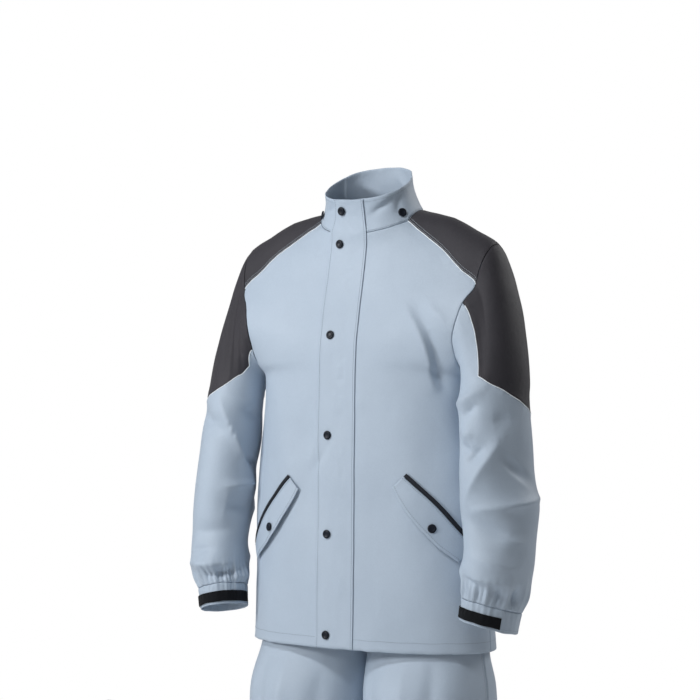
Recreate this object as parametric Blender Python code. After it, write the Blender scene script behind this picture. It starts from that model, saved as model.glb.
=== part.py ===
"""Rain suit: a jacket with a stand collar, and its trousers, as worn.

Metres, +Z up. The wearer faces -Y, the wearer's left is +X. The origin is at the base of the neck,
level with the shoulder's inner end. Every cloth piece is a closed wall round its own middle surface,
with a narrow gap at each seam.
"""

import math

import bpy
import numpy as np

# Cloth and seams
WALL = 0.002
SEAM_GAP = 0.0003
SLEEVE_SEAM_GAP = 0.0006
LIE_GAP = 0.0005
FLAP_WALL = 0.0018
STRAP_WALL = 0.0016
SHARP_ANGLE = math.radians(50)

# Storm flap, measured from the centre front
FLAP_SEWN_EDGE = 0.029
FLAP_FREE_EDGE = 0.049
FLAP_IN = 0.001

# Press snaps
SNAP_RADIUS = 0.0075
SNAP_HEIGHT = 0.0026
SNAP_STANDS = 0.0006
SNAP_SIDES = 12
SNAP_RINGS = ((1.0, 0.0), (1.0, 0.45), (0.82, 0.85), (0.40, 1.0))
FLAP_SNAP_HEIGHTS = (-0.058, -0.212, -0.381, -0.548, -0.718)

# Stand collar
COLLAR_TOPS = (0.018, 0.080)
COLLAR_ROWS = 3
COLLAR_LEAN_IN = 0.16
COLLAR_HOLLOW = 0.004
COLLAR_LEAN_FRONT = 0.004
COLLAR_LEAN_BACK = 0.020
NECK_DEPTH = (-0.058, 0.076)
COLLAR_SNAP_HEIGHT = 0.016
COLLAR_SNAP_COLUMN = 7.7
COLLAR_SNAP_OUT = 0.0005

# Meshes
FRONT_COLUMNS = 8
YOKE_COLUMNS = 8
ARMHOLE_ROWS = 7
SLEEVE_TOP_ROWS = 10
SLEEVE_LOW_ROWS = 16
CUFF_ROWS = 2
LEG_COLUMNS = 8

# Front piece, wearer's left: a row runs from the centre front to the side seam, armhole or yoke seam.
# reach is the length of the curve's handle at the centre, in_* the handle at the edge.
FRONT_FIELDS = ("centre_y", "centre_z", "reach", "edge_x", "edge_y", "edge_z", "in_x", "in_y", "in_z")
FRONT_ROWS = {
    "hem": (-0.1013, -0.741, 0.143, 0.233, 0.005, -0.741, 0.000, -0.062, 0.000),
    "hip": (-0.0985, -0.620, 0.140, 0.229, 0.005, -0.620, 0.000, -0.061, 0.000),
    "waist": (-0.0965, -0.500, 0.138, 0.227, 0.005, -0.500, 0.000, -0.060, 0.000),
    "ribs": (-0.0954, -0.390, 0.135, 0.217, 0.005, -0.390, 0.000, -0.062, 0.000),
    "low_arm": (-0.0938, -0.325, 0.134, 0.207, 0.005, -0.325, 0.000, -0.064, 0.000),
    "underarm": (-0.0925, -0.282, 0.135, 0.205, 0.005, -0.290, 0.000, -0.066, 0.000),
    "armhole_low": (-0.0905, -0.250, 0.115, 0.203, -0.046, -0.262, -0.025, -0.036, 0.000),
    "armhole_mid": (-0.0870, -0.215, 0.095, 0.207, -0.073, -0.206, -0.060, -0.012, 0.000),
    "armhole_high": (-0.0790, -0.175, 0.098, 0.219, -0.063, -0.160, -0.065, -0.012, 0.000),
    "tip": (-0.0735, -0.150, 0.100, 0.233, -0.045, -0.130, -0.065, -0.022, -0.004),
    "yoke_out": (-0.0670, -0.122, 0.090, 0.202, -0.043, -0.103, -0.055, -0.016, -0.006),
    "yoke_mid": (-0.0610, -0.090, 0.075, 0.160, -0.036, -0.067, -0.045, -0.015, -0.008),
    "yoke_in": (-0.0575, -0.064, 0.060, 0.122, -0.029, -0.042, -0.035, -0.016, -0.007),
    "neck": (-0.0580, -0.040, 0.045, 0.088, -0.022, -0.020, -0.016, -0.026, -0.008),
}

# Back piece, wearer's left half, in the same way from the centre back
BACK_ROWS = {
    "hem": (0.130, -0.745, 0.143, 0.233, 0.005, -0.741, 0.000, 0.075, 0.000),
    "hip": (0.125, -0.620, 0.140, 0.229, 0.005, -0.620, 0.000, 0.073, 0.000),
    "waist": (0.118, -0.500, 0.138, 0.227, 0.005, -0.500, 0.000, 0.070, 0.000),
    "ribs": (0.120, -0.390, 0.131, 0.217, 0.005, -0.390, 0.000, 0.070, 0.000),
    "low_arm": (0.125, -0.325, 0.126, 0.207, 0.005, -0.325, 0.000, 0.073, 0.000),
    "underarm": (0.128, -0.285, 0.125, 0.205, 0.005, -0.290, 0.000, 0.075, 0.000),
    "armhole_low": (0.130, -0.245, 0.120, 0.212, 0.065, -0.255, -0.022, 0.042, 0.000),
    "armhole_mid": (0.131, -0.195, 0.110, 0.224, 0.085, -0.200, -0.050, 0.030, 0.000),
    "armhole_high": (0.127, -0.150, 0.110, 0.232, 0.070, -0.155, -0.060, 0.028, 0.000),
    "tip": (0.122, -0.120, 0.105, 0.234, 0.052, -0.125, -0.060, 0.035, 0.000),
    "yoke_out": (0.112, -0.085, 0.095, 0.203, 0.052, -0.098, -0.050, 0.030, 0.004),
    "yoke_mid": (0.098, -0.050, 0.080, 0.160, 0.050, -0.062, -0.040, 0.026, 0.006),
    "yoke_in": (0.087, -0.018, 0.060, 0.122, 0.050, -0.034, -0.030, 0.020, 0.006),
    "neck": (0.076, 0.010, 0.045, 0.080, 0.040, -0.006, -0.012, 0.024, 0.006),
}

# Mesh rows between one named row and the next
BODY_STEPS = (3, 3, 3, 2, 2, 2, 2, 2, 1, 2, 2, 1, 1)

# Shoulder yoke: handles of its arch from the front seam over the shoulder to the back seam
YOKE_FIELDS = ("front_x", "front_y", "front_z", "back_x", "back_y", "back_z")
YOKE_ROWS = {
    "tip": (0.016, 0.012, 0.090, 0.015, -0.014, 0.085),
    "yoke_out": (0.000, 0.016, 0.088, 0.000, -0.016, 0.083),
    "yoke_mid": (0.000, 0.020, 0.069, 0.000, -0.020, 0.064),
    "yoke_in": (0.002, 0.016, 0.047, 0.004, -0.014, 0.039),
    "neck": (0.008, 0.010, 0.022, 0.013, -0.010, 0.014),
}
YOKE_STEPS = (2, 2, 1, 1)

# Sleeve rings, wearer's left: half lengths of the oval, and how the ring's plane rises with x and y
SLEEVE_FIELDS = ("z", "x", "y", "long", "short", "rise_x", "rise_y")
SLEEVE_ROWS = {
    "upper_arm": (-0.300, 0.2610, -0.0290, 0.0620, 0.0460, 0.35, 0.00),
    "biceps": (-0.390, 0.2690, -0.0400, 0.0635, 0.0490, 0.00, 0.00),
    "above_elbow": (-0.455, 0.2750, -0.0450, 0.0660, 0.0500, 0.00, 0.00),
    "elbow": (-0.490, 0.2770, -0.0435, 0.0670, 0.0530, 0.00, 0.00),
    "forearm": (-0.553, 0.2823, -0.0505, 0.0630, 0.0485, 0.00, 0.00),
    "low_forearm": (-0.600, 0.2800, -0.0555, 0.0625, 0.0487, -0.08, -0.05),
    "gathers": (-0.632, 0.2765, -0.0565, 0.0575, 0.0450, -0.16, -0.10),
    "cuff_top": (-0.654, 0.2705, -0.0590, 0.0520, 0.0410, -0.22, -0.145),
    "cuff_end": (-0.690, 0.2655, -0.0620, 0.0500, 0.0405, -0.22, -0.145),
}
SLEEVE_TURN = math.radians(65.5)
SLEEVE_TWIST = {"l": 0.0, "r": math.radians(-45)}
TWIST_UNDER = 0.5

# Sleeve cap: how a column leaves the armhole, under the arm and what is added to that at its top
CAP_LEAVES = (0.95, 0.10, -0.75)
CAP_TOP_ADDS = (-0.25, 0.00, 0.10)
CAP_PULL = 0.85
CAP_EASE = 0.42
CAP_POINTS = 16
RING_STEPS = 6

# Upper sleeve panel: its first and last column, and the height of its lower edge along the columns
PANEL_COLUMNS = {"l": (6, 17), "r": (3, 17)}
LOWER_EDGE = {
    "l": {0: -0.352, 2: -0.340, 4: -0.308, 6: -0.280, 9: -0.307, 13: -0.343, 15: -0.333, 17: -0.308,
          19: -0.322, 21: -0.345, 22: -0.352},
    "r": {0: -0.335, 3: -0.265, 6: -0.282, 9: -0.310, 13: -0.340, 15: -0.333, 17: -0.308, 19: -0.322,
          21: -0.338, 22: -0.335},
}

# Trouser front piece, wearer's left leg: a row runs from the side seam to the centre or inner seam
LEG_FIELDS = ("side_x", "side_y", "side_z", "ahead", "end_x", "end_y", "end_z", "in_x", "in_y")
LEG_FRONT_ROWS = {
    "waist": (0.172, 0.010, -0.440, 0.055, 0.000, -0.072, -0.440, 0.105, 0.000),
    "hip": (0.190, 0.010, -0.560, 0.055, 0.000, -0.074, -0.560, 0.118, 0.000),
    "seat": (0.205, 0.010, -0.660, 0.062, 0.000, -0.074, -0.660, 0.120, 0.000),
    "fork_start": (0.212, 0.008, -0.715, 0.085, 0.000, -0.045, -0.722, 0.060, -0.055),
    "fork": (0.218, 0.006, -0.755, 0.108, 0.003, 0.005, -0.752, 0.000, -0.108),
    "under_fork": (0.226, 0.003, -0.800, 0.135, 0.004, 0.003, -0.800, 0.000, -0.135),
    "thigh": (0.228, 0.000, -0.900, 0.142, 0.012, 0.000, -0.900, 0.000, -0.142),
    "knee": (0.226, -0.004, -1.050, 0.133, 0.028, -0.004, -1.050, 0.000, -0.133),
    "calf": (0.224, 0.000, -1.250, 0.127, 0.042, 0.000, -1.250, 0.000, -0.127),
    "leg_hem": (0.220, 0.004, -1.460, 0.120, 0.050, 0.004, -1.460, 0.000, -0.120),
}
LEG_BACK_ROWS = {
    "waist": (0.172, 0.010, -0.440, 0.060, 0.000, 0.095, -0.440, 0.105, 0.000),
    "hip": (0.190, 0.010, -0.560, 0.062, 0.000, 0.102, -0.560, 0.118, 0.000),
    "seat": (0.205, 0.010, -0.660, 0.066, 0.000, 0.106, -0.660, 0.120, 0.000),
    "fork_start": (0.212, 0.008, -0.715, 0.095, 0.000, 0.070, -0.722, 0.060, 0.050),
    "fork": (0.218, 0.006, -0.755, 0.120, 0.003, 0.005, -0.752, 0.000, 0.120),
    "under_fork": (0.226, 0.003, -0.800, 0.140, 0.004, 0.003, -0.800, 0.000, 0.140),
    "thigh": (0.228, 0.000, -0.900, 0.142, 0.012, 0.000, -0.900, 0.000, 0.142),
    "knee": (0.226, -0.004, -1.050, 0.133, 0.028, -0.004, -1.050, 0.000, 0.133),
    "calf": (0.224, 0.000, -1.250, 0.133, 0.042, 0.000, -1.250, 0.000, 0.133),
    "leg_hem": (0.220, 0.004, -1.460, 0.122, 0.050, 0.004, -1.460, 0.000, 0.122),
}
LEG_STEPS = (2, 2, 2, 1, 1, 2, 2, 3, 3)
WAISTBAND_HEIGHT = 0.040

# Folds: a ridge (depth above 0) or trough runs from one place to another, each an angle in degrees and
# a height. On the body 0 is the front and 90 the wearer's left; on a sleeve 0 is its outer side and -90
# its front, with the wearer's right sleeve mirrored; on a leg 0 is its front and 90 its outer side.
FOLD_FIELDS = ("from_angle", "from_z", "to_angle", "to_z", "width", "depth")
BODY_FOLDS = (
    (57, -0.160, 69, -0.285, 0.011, 0.0040),
    (65, -0.160, 77, -0.290, 0.012, -0.0085),
    (50, -0.330, 62, -0.700, 0.030, 0.0040),
    (-62, -0.300, -38, -0.560, 0.030, 0.0045),
    (-50, -0.560, -66, -0.740, 0.026, 0.0040),
    (102, -0.540, 98, -0.741, 0.026, -0.0050),
    (-104, -0.500, -98, -0.741, 0.026, -0.0050),
    (124, -0.250, 160, -0.360, 0.022, -0.0060),
    (-122, -0.250, -152, -0.380, 0.022, -0.0060),
    (178, -0.420, 172, -0.744, 0.030, 0.0060),
    (140, -0.460, 132, -0.743, 0.026, 0.0055),
    (-144, -0.440, -136, -0.743, 0.028, 0.0055),
    (158, -0.540, 155, -0.743, 0.022, -0.0045),
)
SLEEVE_FOLDS = {
    "l": (
        (-93, -0.497, 33, -0.479, 0.014, 0.0065),
        (-41, -0.374, -110, -0.482, 0.015, 0.0055),
        (-14, -0.420, -30, -0.440, 0.030, -0.0060),
        (-109, -0.512, -40, -0.541, 0.014, -0.0050),
        (-100, -0.572, -24, -0.592, 0.013, 0.0040),
        (-145, -0.597, -24, -0.620, 0.012, 0.0055),
        (-129, -0.599, -80, -0.617, 0.010, -0.0055),
        (-20, -0.622, -6, -0.650, 0.013, -0.0065),
        (-145, -0.330, -71, -0.302, 0.013, 0.0050),
        (-54, -0.350, -28, -0.352, 0.012, -0.0040),
        (60, -0.470, 140, -0.500, 0.014, -0.0060),
        (50, -0.500, 130, -0.525, 0.013, 0.0060),
        (120, -0.400, 200, -0.440, 0.015, 0.0045),
        (60, -0.585, 150, -0.600, 0.013, 0.0050),
    ),
    "r": (
        (-94, -0.320, -187, -0.464, 0.015, 0.0070),
        (-40, -0.347, -114, -0.377, 0.014, -0.0055),
        (-125, -0.474, -192, -0.470, 0.011, 0.0045),
        (-130, -0.502, -188, -0.506, 0.020, -0.0085),
        (-60, -0.555, -150, -0.550, 0.016, -0.0045),
        (-45, -0.612, -155, -0.607, 0.012, 0.0060),
        (-95, -0.628, -165, -0.622, 0.010, -0.0050),
        (-150, -0.634, -195, -0.636, 0.016, 0.0100),
        (-214, -0.345, -214, -0.450, 0.024, 0.0060),
        (60, -0.470, 140, -0.495, 0.014, -0.0060),
        (50, -0.500, 130, -0.520, 0.013, 0.0060),
        (60, -0.590, 140, -0.605, 0.013, 0.0050),
    ),
}
LEG_FOLDS = (
    (0, -0.765, 6, -1.000, 0.016, 0.0050),
    (34, -0.765, 24, -0.950, 0.016, -0.0050),
    (-40, -0.790, -20, -0.980, 0.016, -0.0045),
    (-60, -1.030, 40, -1.060, 0.016, -0.0045),
    (-50, -1.100, 50, -1.085, 0.017, 0.0045),
    (125, -1.030, 215, -1.060, 0.018, -0.0060),
    (120, -1.090, 200, -1.110, 0.017, 0.0050),
    (180, -0.790, 175, -0.960, 0.020, 0.0050),
    (-70, -1.385, 60, -1.375, 0.016, -0.0045),
    (-80, -1.425, 70, -1.415, 0.016, 0.0050),
    (120, -1.400, 210, -1.390, 0.017, 0.0050),
)
FOLD_REACH = 3
FOLD_END_SHARE = 0.35
BODY_RADIUS = 0.18
SLEEVE_RADIUS = 0.058
LEG_RADIUS = 0.105
BODY_AXIS_Y = 0.012
BODY_TOP_INSIDE = -0.10
LEG_AXIS_X = 0.118
FORK_FADE = (-0.60, -0.75)
BODY_FOLDS_FADE = (-0.10, -0.18)
LEG_FOLDS_FADE = (-0.742, -0.772)
SLEEVE_FOLDS_FADE = (-0.654, -0.640)
CUFF_GATHER = 0.0022
CUFF_GATHER_HEIGHT = -0.628
CUFF_GATHER_WIDTH = 0.016

# Slanted pockets: upper and lower end as distance round from the centre front and height
POCKET_ENDS = {"l": ((0.120, -0.447), (0.236, -0.566)), "r": ((0.104, -0.455), (0.226, -0.577))}
POCKET_BOW = 0.005
POCKET_STRIP_WIDTH = 0.007
POCKET_FLAP_DEPTHS = {0.0: 0.027, 0.14: 0.036, 0.3: 0.042, 0.535: 0.045, 0.74: 0.044, 1.0: 0.033}
POCKET_SNAP = 0.60
POCKET_FLAP_STANDS = 0.005
POCKET_END_STANDS = 0.4
POCKET_LIE_GAP = 0.0016
POCKET_STEPS = 14
NORMAL_STEP = 0.006

# Cuff strap: arc round the cuff, from its end on the inner front to the outer front, and its height
STRAP_FROM = math.radians(150)
STRAP_TO = math.radians(332)
STRAP_TOP = 0.36
STRAP_LOW = 0.88

COLOURS = {
    "shell": ((0.45, 0.53, 0.61), 0.55, 0.0),
    "charcoal": ((0.055, 0.050, 0.060), 0.65, 0.0),
    "snap": ((0.008, 0.012, 0.022), 0.35, 0.0),
    "webbing": ((0.006, 0.008, 0.010), 0.85, 0.0),
}


def remove_all():
    for thing in list(bpy.data.objects):
        bpy.data.objects.remove(thing, do_unlink=True)


def make_material(name, finish):
    colour, roughness, metallic = COLOURS[finish]
    made = bpy.data.materials.new(name)
    made.use_nodes = True
    shader = made.node_tree.nodes["Principled BSDF"]
    shader.inputs["Base Color"].default_value = (*colour, 1.0)
    shader.inputs["Roughness"].default_value = roughness
    shader.inputs["Metallic"].default_value = metallic
    return made


def make_object(name, verts, faces, finish):
    mesh = bpy.data.meshes.new(name)
    mesh.from_pydata([tuple(float(c) for c in v) for v in verts], [], faces)
    mesh.materials.append(make_material(name, finish))
    mesh.shade_smooth()
    mesh.set_sharp_from_angle(angle=SHARP_ANGLE)
    made = bpy.data.objects.new(name, mesh)
    bpy.context.scene.collection.objects.link(made)
    return made


def smooth_rows(table, steps, spaced_by=slice(None)):
    """Rows of a table, with steps smooth rows from each named one to the next."""
    rows = np.array(list(table.values()), dtype=float)
    reach = np.linalg.norm(np.diff(rows[:, spaced_by], axis=0), axis=1) + 1e-6
    knots = np.concatenate(([0.0], np.cumsum(reach)))
    slopes = np.gradient(rows, knots, axis=0)
    out = [rows[0]]
    for i, count in enumerate(steps):
        span = knots[i + 1] - knots[i]
        for k in range(1, count + 1):
            out.append(hermite(rows[i], slopes[i] * span, rows[i + 1], slopes[i + 1] * span, k / count))
    return np.array(out)


def hermite(a, slope_a, b, slope_b, s):
    return ((2 * s**3 - 3 * s**2 + 1) * a + (s**3 - 2 * s**2 + s) * slope_a
            + (3 * s**2 - 2 * s**3) * b + (s**3 - s**2) * slope_b)


def bezier(a, b, c, d, count=48):
    s = np.linspace(0.0, 1.0, count)[:, None]
    return (1 - s)**3 * a + 3 * s * (1 - s)**2 * b + 3 * s**2 * (1 - s) * c + s**3 * d


def fade_over(value, none, full):
    """0 at none, 1 at full, straight between them."""
    return min(1.0, max(0.0, (value - none) / (full - none)))


def fold_depth(folds, radius, angle, z):
    """How far the folds move a point outward, where angle is in degrees."""
    total = 0.0
    for fold in folds:
        part = dict(zip(FOLD_FIELDS, fold))
        turn = (angle - part["from_angle"] + 180.0) % 360.0 - 180.0
        here = np.array((radius * math.radians(turn), z - part["from_z"]))
        sweep = radius * math.radians(part["to_angle"] - part["from_angle"])
        run = np.array((sweep, part["to_z"] - part["from_z"]))
        along = min(1.0, max(0.0, float(np.dot(here, run)) / float(np.dot(run, run))))
        off = np.linalg.norm(here - run * along)
        if off < FOLD_REACH * part["width"]:
            taper = FOLD_END_SHARE + (1 - FOLD_END_SHARE) * math.sin(math.pi * along)
            total += part["depth"] * taper * math.exp(-(off / part["width"])**2)
    return total


def fold_body(grid):
    """Fold the body's points outward or inward, from the axis."""
    for line in grid:
        for point in line:
            out = np.array((point[0], point[1] - BODY_AXIS_Y, 0.0))
            angle = math.degrees(math.atan2(out[0], -out[1]))
            depth = fold_depth(BODY_FOLDS, BODY_RADIUS, angle, point[2])
            point += out / np.linalg.norm(out) * depth * fade_over(point[2], *BODY_FOLDS_FADE)
    return grid


def fold_leg(grid):
    """Fold a left leg's points from the middle of the leg, below the fork."""
    for line in grid:
        for point in line:
            out = np.array((point[0] - LEG_AXIS_X, point[1], 0.0))
            angle = math.degrees(math.atan2(out[0], -out[1]))
            depth = fold_depth(LEG_FOLDS, LEG_RADIUS, angle, point[2])
            point += out / np.linalg.norm(out) * depth * fade_over(point[2], *LEG_FOLDS_FADE)
            point[0] = max(0.0, point[0])
    return grid


def points_along(curve, distances):
    """Points at these distances along a fine polyline."""
    run = np.concatenate(([0.0], np.cumsum(np.linalg.norm(np.diff(curve, axis=0), axis=1))))
    return np.array([[np.interp(d, run, curve[:, k]) for k in range(3)] for d in distances]), run[-1]


def body_curve(row):
    """The fine curve of one row of a front or back half."""
    values = dict(zip(FRONT_FIELDS, row))
    start = np.array((0.0, values["centre_y"], values["centre_z"]))
    end = np.array((values["edge_x"], values["edge_y"], values["edge_z"]))
    inward = np.array((values["in_x"], values["in_y"], values["in_z"]))
    return bezier(start, start + np.array((values["reach"], 0.0, 0.0)), end + inward, end)


def body_grid(rows, fixed):
    """Rows of points from the centre to the edge, the first ones at fixed distances."""
    grid = []
    for row in rows:
        curve = body_curve(row)
        length = np.sum(np.linalg.norm(np.diff(curve, axis=0), axis=1))
        rest = FRONT_COLUMNS - len(fixed)
        start = fixed[-1] if fixed else 0.0
        far = [start + (length - start) * k / rest for k in range(1, rest + 1)]
        near = [0.0] + list(fixed) if fixed else [0.0]
        points, _ = points_along(curve, near + far)
        grid.append(points)
    return np.array(grid)


def mirror(grid):
    return grid * np.array((-1.0, 1.0, 1.0))


def grid_quads(rows, columns, wrap=False, keep=None, flip=False):
    """Cells of a grid as index quads; keep tells which cells belong."""
    quads = []
    for r in range(rows - 1):
        for c in range(columns if wrap else columns - 1):
            if keep and not keep(r, c):
                continue
            after = (c + 1) % columns
            cell = (r * columns + c, r * columns + after, (r + 1) * columns + after, (r + 1) * columns + c)
            quads.append(cell[::-1] if flip else cell)
    return quads


def point_key(point):
    return tuple(round(float(c), 6) + 0.0 for c in point)


def split_quad(points, quad):
    a, b, c, d = quad
    if np.linalg.norm(points[a] - points[c]) <= np.linalg.norm(points[b] - points[d]):
        return [(a, b, c), (a, c, d)]
    return [(a, b, d), (b, c, d)]


def shared_normals(pieces):
    """One normal for each point, halfway between those of the surfaces that meet there."""
    surfaces = {}
    for piece in pieces:
        points = piece["points"]
        total = surfaces.setdefault(piece.get("surface", piece["name"]), {})
        for quad in piece["quads"]:
            a, b, c, d = (points[i] for i in quad)
            normal = np.cross(c - a, d - b)
            for i in quad:
                spot = point_key(points[i])
                total[spot] = total.get(spot, np.zeros(3)) + normal
    joined = {}
    for total in surfaces.values():
        for spot, normal in total.items():
            joined[spot] = joined.get(spot, np.zeros(3)) + normal / np.linalg.norm(normal)
    return {spot: normal / np.linalg.norm(normal) for spot, normal in joined.items()}


def wall_object(piece, normals, shift=0.0):
    """A closed wall round a piece's middle surface, drawn in by half a seam at its edges."""
    points = piece["points"]
    wall = piece.get("wall", WALL)
    gap = piece.get("gap", SEAM_GAP / 2)
    faces = []
    for quad in piece["quads"]:
        faces.extend(split_quad(points, quad))
    edges = {}
    for face in faces:
        for k in range(3):
            edges[(face[k], face[(k + 1) % 3])] = face
    rim = [edge for edge in edges if (edge[1], edge[0]) not in edges]
    inward = {}
    for a, b in rim:
        along = points[b] - points[a]
        along = along / np.linalg.norm(along)
        for i in (a, b):
            side = np.cross(normals[point_key(points[i])], along)
            inward.setdefault(i, []).append(side / np.linalg.norm(side))
    used = sorted({i for face in faces for i in face})
    place = {i: k for k, i in enumerate(used)}
    outer = []
    inner = []
    for i in used:
        spot = points[i].copy()
        normal = normals[point_key(points[i])]
        if i in inward:
            total = sum(inward[i])
            total = total / np.linalg.norm(total)
            spot = spot + total * gap / max(0.5, float(np.dot(total, inward[i][0])))
        outer.append(spot + normal * (shift + wall / 2))
        inner.append(spot + normal * (shift - wall / 2))
    count = len(used)
    solid = [tuple(place[i] for i in face) for face in faces]
    solid += [tuple(place[i] + count for i in face[::-1]) for face in faces]
    for a, b in rim:
        one, two = place[a], place[b]
        solid.append((two, one, one + count))
        solid.append((two, one + count, two + count))
    return make_object(piece["name"], outer + inner, solid, piece["finish"])


def snap_object(name, centre, normal):
    """A low domed press-snap cap whose flat back sits a hair above the cloth."""
    normal = normal / np.linalg.norm(normal)
    across = np.cross(normal, np.array((0.0, 0.0, 1.0)))
    across = across / np.linalg.norm(across)
    up = np.cross(across, normal)
    verts = []
    for size, height in SNAP_RINGS:
        for k in range(SNAP_SIDES):
            angle = 2 * math.pi * k / SNAP_SIDES
            spread = (across * math.cos(angle) + up * math.sin(angle)) * SNAP_RADIUS * size
            verts.append(centre + spread + normal * (SNAP_HEIGHT * height))
    faces = [tuple(range(SNAP_SIDES))[::-1]]
    for ring in range(len(SNAP_RINGS) - 1):
        for k in range(SNAP_SIDES):
            after = (k + 1) % SNAP_SIDES
            low, high = ring * SNAP_SIDES, (ring + 1) * SNAP_SIDES
            faces.append((low + k, low + after, high + after, high + k))
    faces.append(tuple(range((len(SNAP_RINGS) - 1) * SNAP_SIDES, len(SNAP_RINGS) * SNAP_SIDES)))
    if np.dot(np.cross(across, up), normal) < 0:
        faces = [face[::-1] for face in faces]
    return make_object(name, verts, faces, "snap")


def piece_of(name, grid, finish, **more):
    """A piece from a grid of points; its quads turn outward from the point inside."""
    rows, columns = grid.shape[:2]
    inside = more.pop("inside")
    wrap = more.pop("wrap", False)
    keep = more.pop("keep", None)
    points = grid.reshape(-1, 3)
    quads = grid_quads(rows, columns, wrap, keep)
    facing = 0.0
    for quad in quads:
        a, b, c, d = (points[i] for i in quad)
        middle = (a + b + c + d) / 4
        facing += float(np.dot(np.cross(c - a, d - b), middle - inside(middle)))
    if facing < 0:
        quads = grid_quads(rows, columns, wrap, keep, flip=True)
    return {"name": name, "points": points, "quads": quads, "finish": finish, **more}


def body_inside(point):
    return np.array((0.0, BODY_AXIS_Y, min(point[2], BODY_TOP_INSIDE)))


def yoke_grid(front, back, tip_row):
    """Arches from the front yoke seam to the back one, from the armhole up to the neck."""
    rows = smooth_rows(YOKE_ROWS, YOKE_STEPS)
    grid = []
    for k, row in enumerate(rows):
        values = dict(zip(YOKE_FIELDS, row))
        a = front[tip_row + k, -1]
        d = back[tip_row + k, -1]
        b = a + np.array((values["front_x"], values["front_y"], values["front_z"]))
        c = d + np.array((values["back_x"], values["back_y"], values["back_z"]))
        curve = bezier(a, b, c, d)
        length = np.sum(np.linalg.norm(np.diff(curve, axis=0), axis=1))
        points, _ = points_along(curve, [length * q / YOKE_COLUMNS for q in range(YOKE_COLUMNS + 1)])
        points[0], points[-1] = a, d
        grid.append(points)
    return np.array(grid)


def ring_point(row, angle):
    """A point of a sleeve ring; the oval's long axis is turned from +X by SLEEVE_TURN."""
    values = dict(zip(SLEEVE_FIELDS, row))
    local = angle - SLEEVE_TURN
    along = values["long"] * math.cos(local)
    across = values["short"] * math.sin(local)
    x = along * math.cos(SLEEVE_TURN) - across * math.sin(SLEEVE_TURN)
    y = along * math.sin(SLEEVE_TURN) + across * math.cos(SLEEVE_TURN)
    z = values["z"] + x * values["rise_x"] + y * values["rise_y"]
    return np.array((values["x"] + x, values["y"] + y, z))


def twist_at(twist, angle):
    """The sleeve's twist, which is full on its outer half and a little of it under the arm."""
    return twist * (TWIST_UNDER + (1 - TWIST_UNDER) * min(1.0, 1 + math.cos(angle)))


def fold_sleeve(point, row, angle, column, side):
    """Fold a ring's point, and gather the sleeve just above the cuff."""
    middle = np.array((row[1], row[2], point[2]))
    out = (point - middle) / np.linalg.norm(point - middle)
    depth = fold_depth(SLEEVE_FOLDS[side], SLEEVE_RADIUS, math.degrees(angle), point[2])
    depth *= fade_over(row[0], *SLEEVE_FOLDS_FADE)
    gather = CUFF_GATHER * math.exp(-((row[0] - CUFF_GATHER_HEIGHT) / CUFF_GATHER_WIDTH)**2)
    return point + out * (depth + (gather if column % 2 else -gather))


def sleeve_grid(loop, side):
    """Columns from each armhole point down to the cuff; the rows bend with the panel's lower edge."""
    twist = SLEEVE_TWIST[side]
    table = {name: row for name, row in SLEEVE_ROWS.items() if name != "cuff_end"}
    rings = smooth_rows(table, (RING_STEPS,) * (len(table) - 1))
    count = len(loop)
    columns = []
    for j, start in enumerate(loop):
        angle = math.pi + 2 * math.pi * j / count
        height = (1 + math.cos(angle)) / 2
        ring_angle = angle + twist_at(twist, angle)
        run = np.array([fold_sleeve(ring_point(row, ring_angle), row, ring_angle, j, side) for row in rings])
        leave = np.array(CAP_LEAVES) * (1.0, math.sin(angle), 1.0) + np.array(CAP_TOP_ADDS) * height
        leave = leave / np.linalg.norm(leave) * (CAP_PULL - CAP_EASE * height)
        arrive = run[1] - run[0]
        arrive = arrive / np.linalg.norm(arrive)
        span = np.linalg.norm(run[0] - start)
        steps = [k / CAP_POINTS for k in range(CAP_POINTS)]
        cap = [hermite(start, leave * span, run[0], arrive * span, s) for s in steps]
        curve = np.array(cap + list(run))
        edge = np.interp(j, list(LOWER_EDGE[side]), list(LOWER_EDGE[side].values()))
        lengths = np.concatenate(([0.0], np.cumsum(np.linalg.norm(np.diff(curve, axis=0), axis=1))))
        low = int(np.argmax(curve[:, 2] < edge))
        part = (curve[low - 1, 2] - edge) / (curve[low - 1, 2] - curve[low, 2])
        at_edge = lengths[low - 1] + part * (lengths[low] - lengths[low - 1])
        stops = [at_edge * k / SLEEVE_TOP_ROWS for k in range(SLEEVE_TOP_ROWS)]
        stops += [at_edge + (lengths[-1] - at_edge) * k / SLEEVE_LOW_ROWS for k in range(SLEEVE_LOW_ROWS + 1)]
        points, _ = points_along(curve, stops)
        points[0] = start
        columns.append(points)
    return np.array(columns).transpose(1, 0, 2)


def cuff_grid(top, twist):
    count = len(top)
    end = SLEEVE_ROWS["cuff_end"]
    low = []
    for j in range(count):
        angle = math.pi + 2 * math.pi * j / count
        low.append(ring_point(end, angle + twist_at(twist, angle)))
    low = np.array(low)
    return np.array([top + (low - top) * k / CUFF_ROWS for k in range(CUFF_ROWS + 1)])


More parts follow.
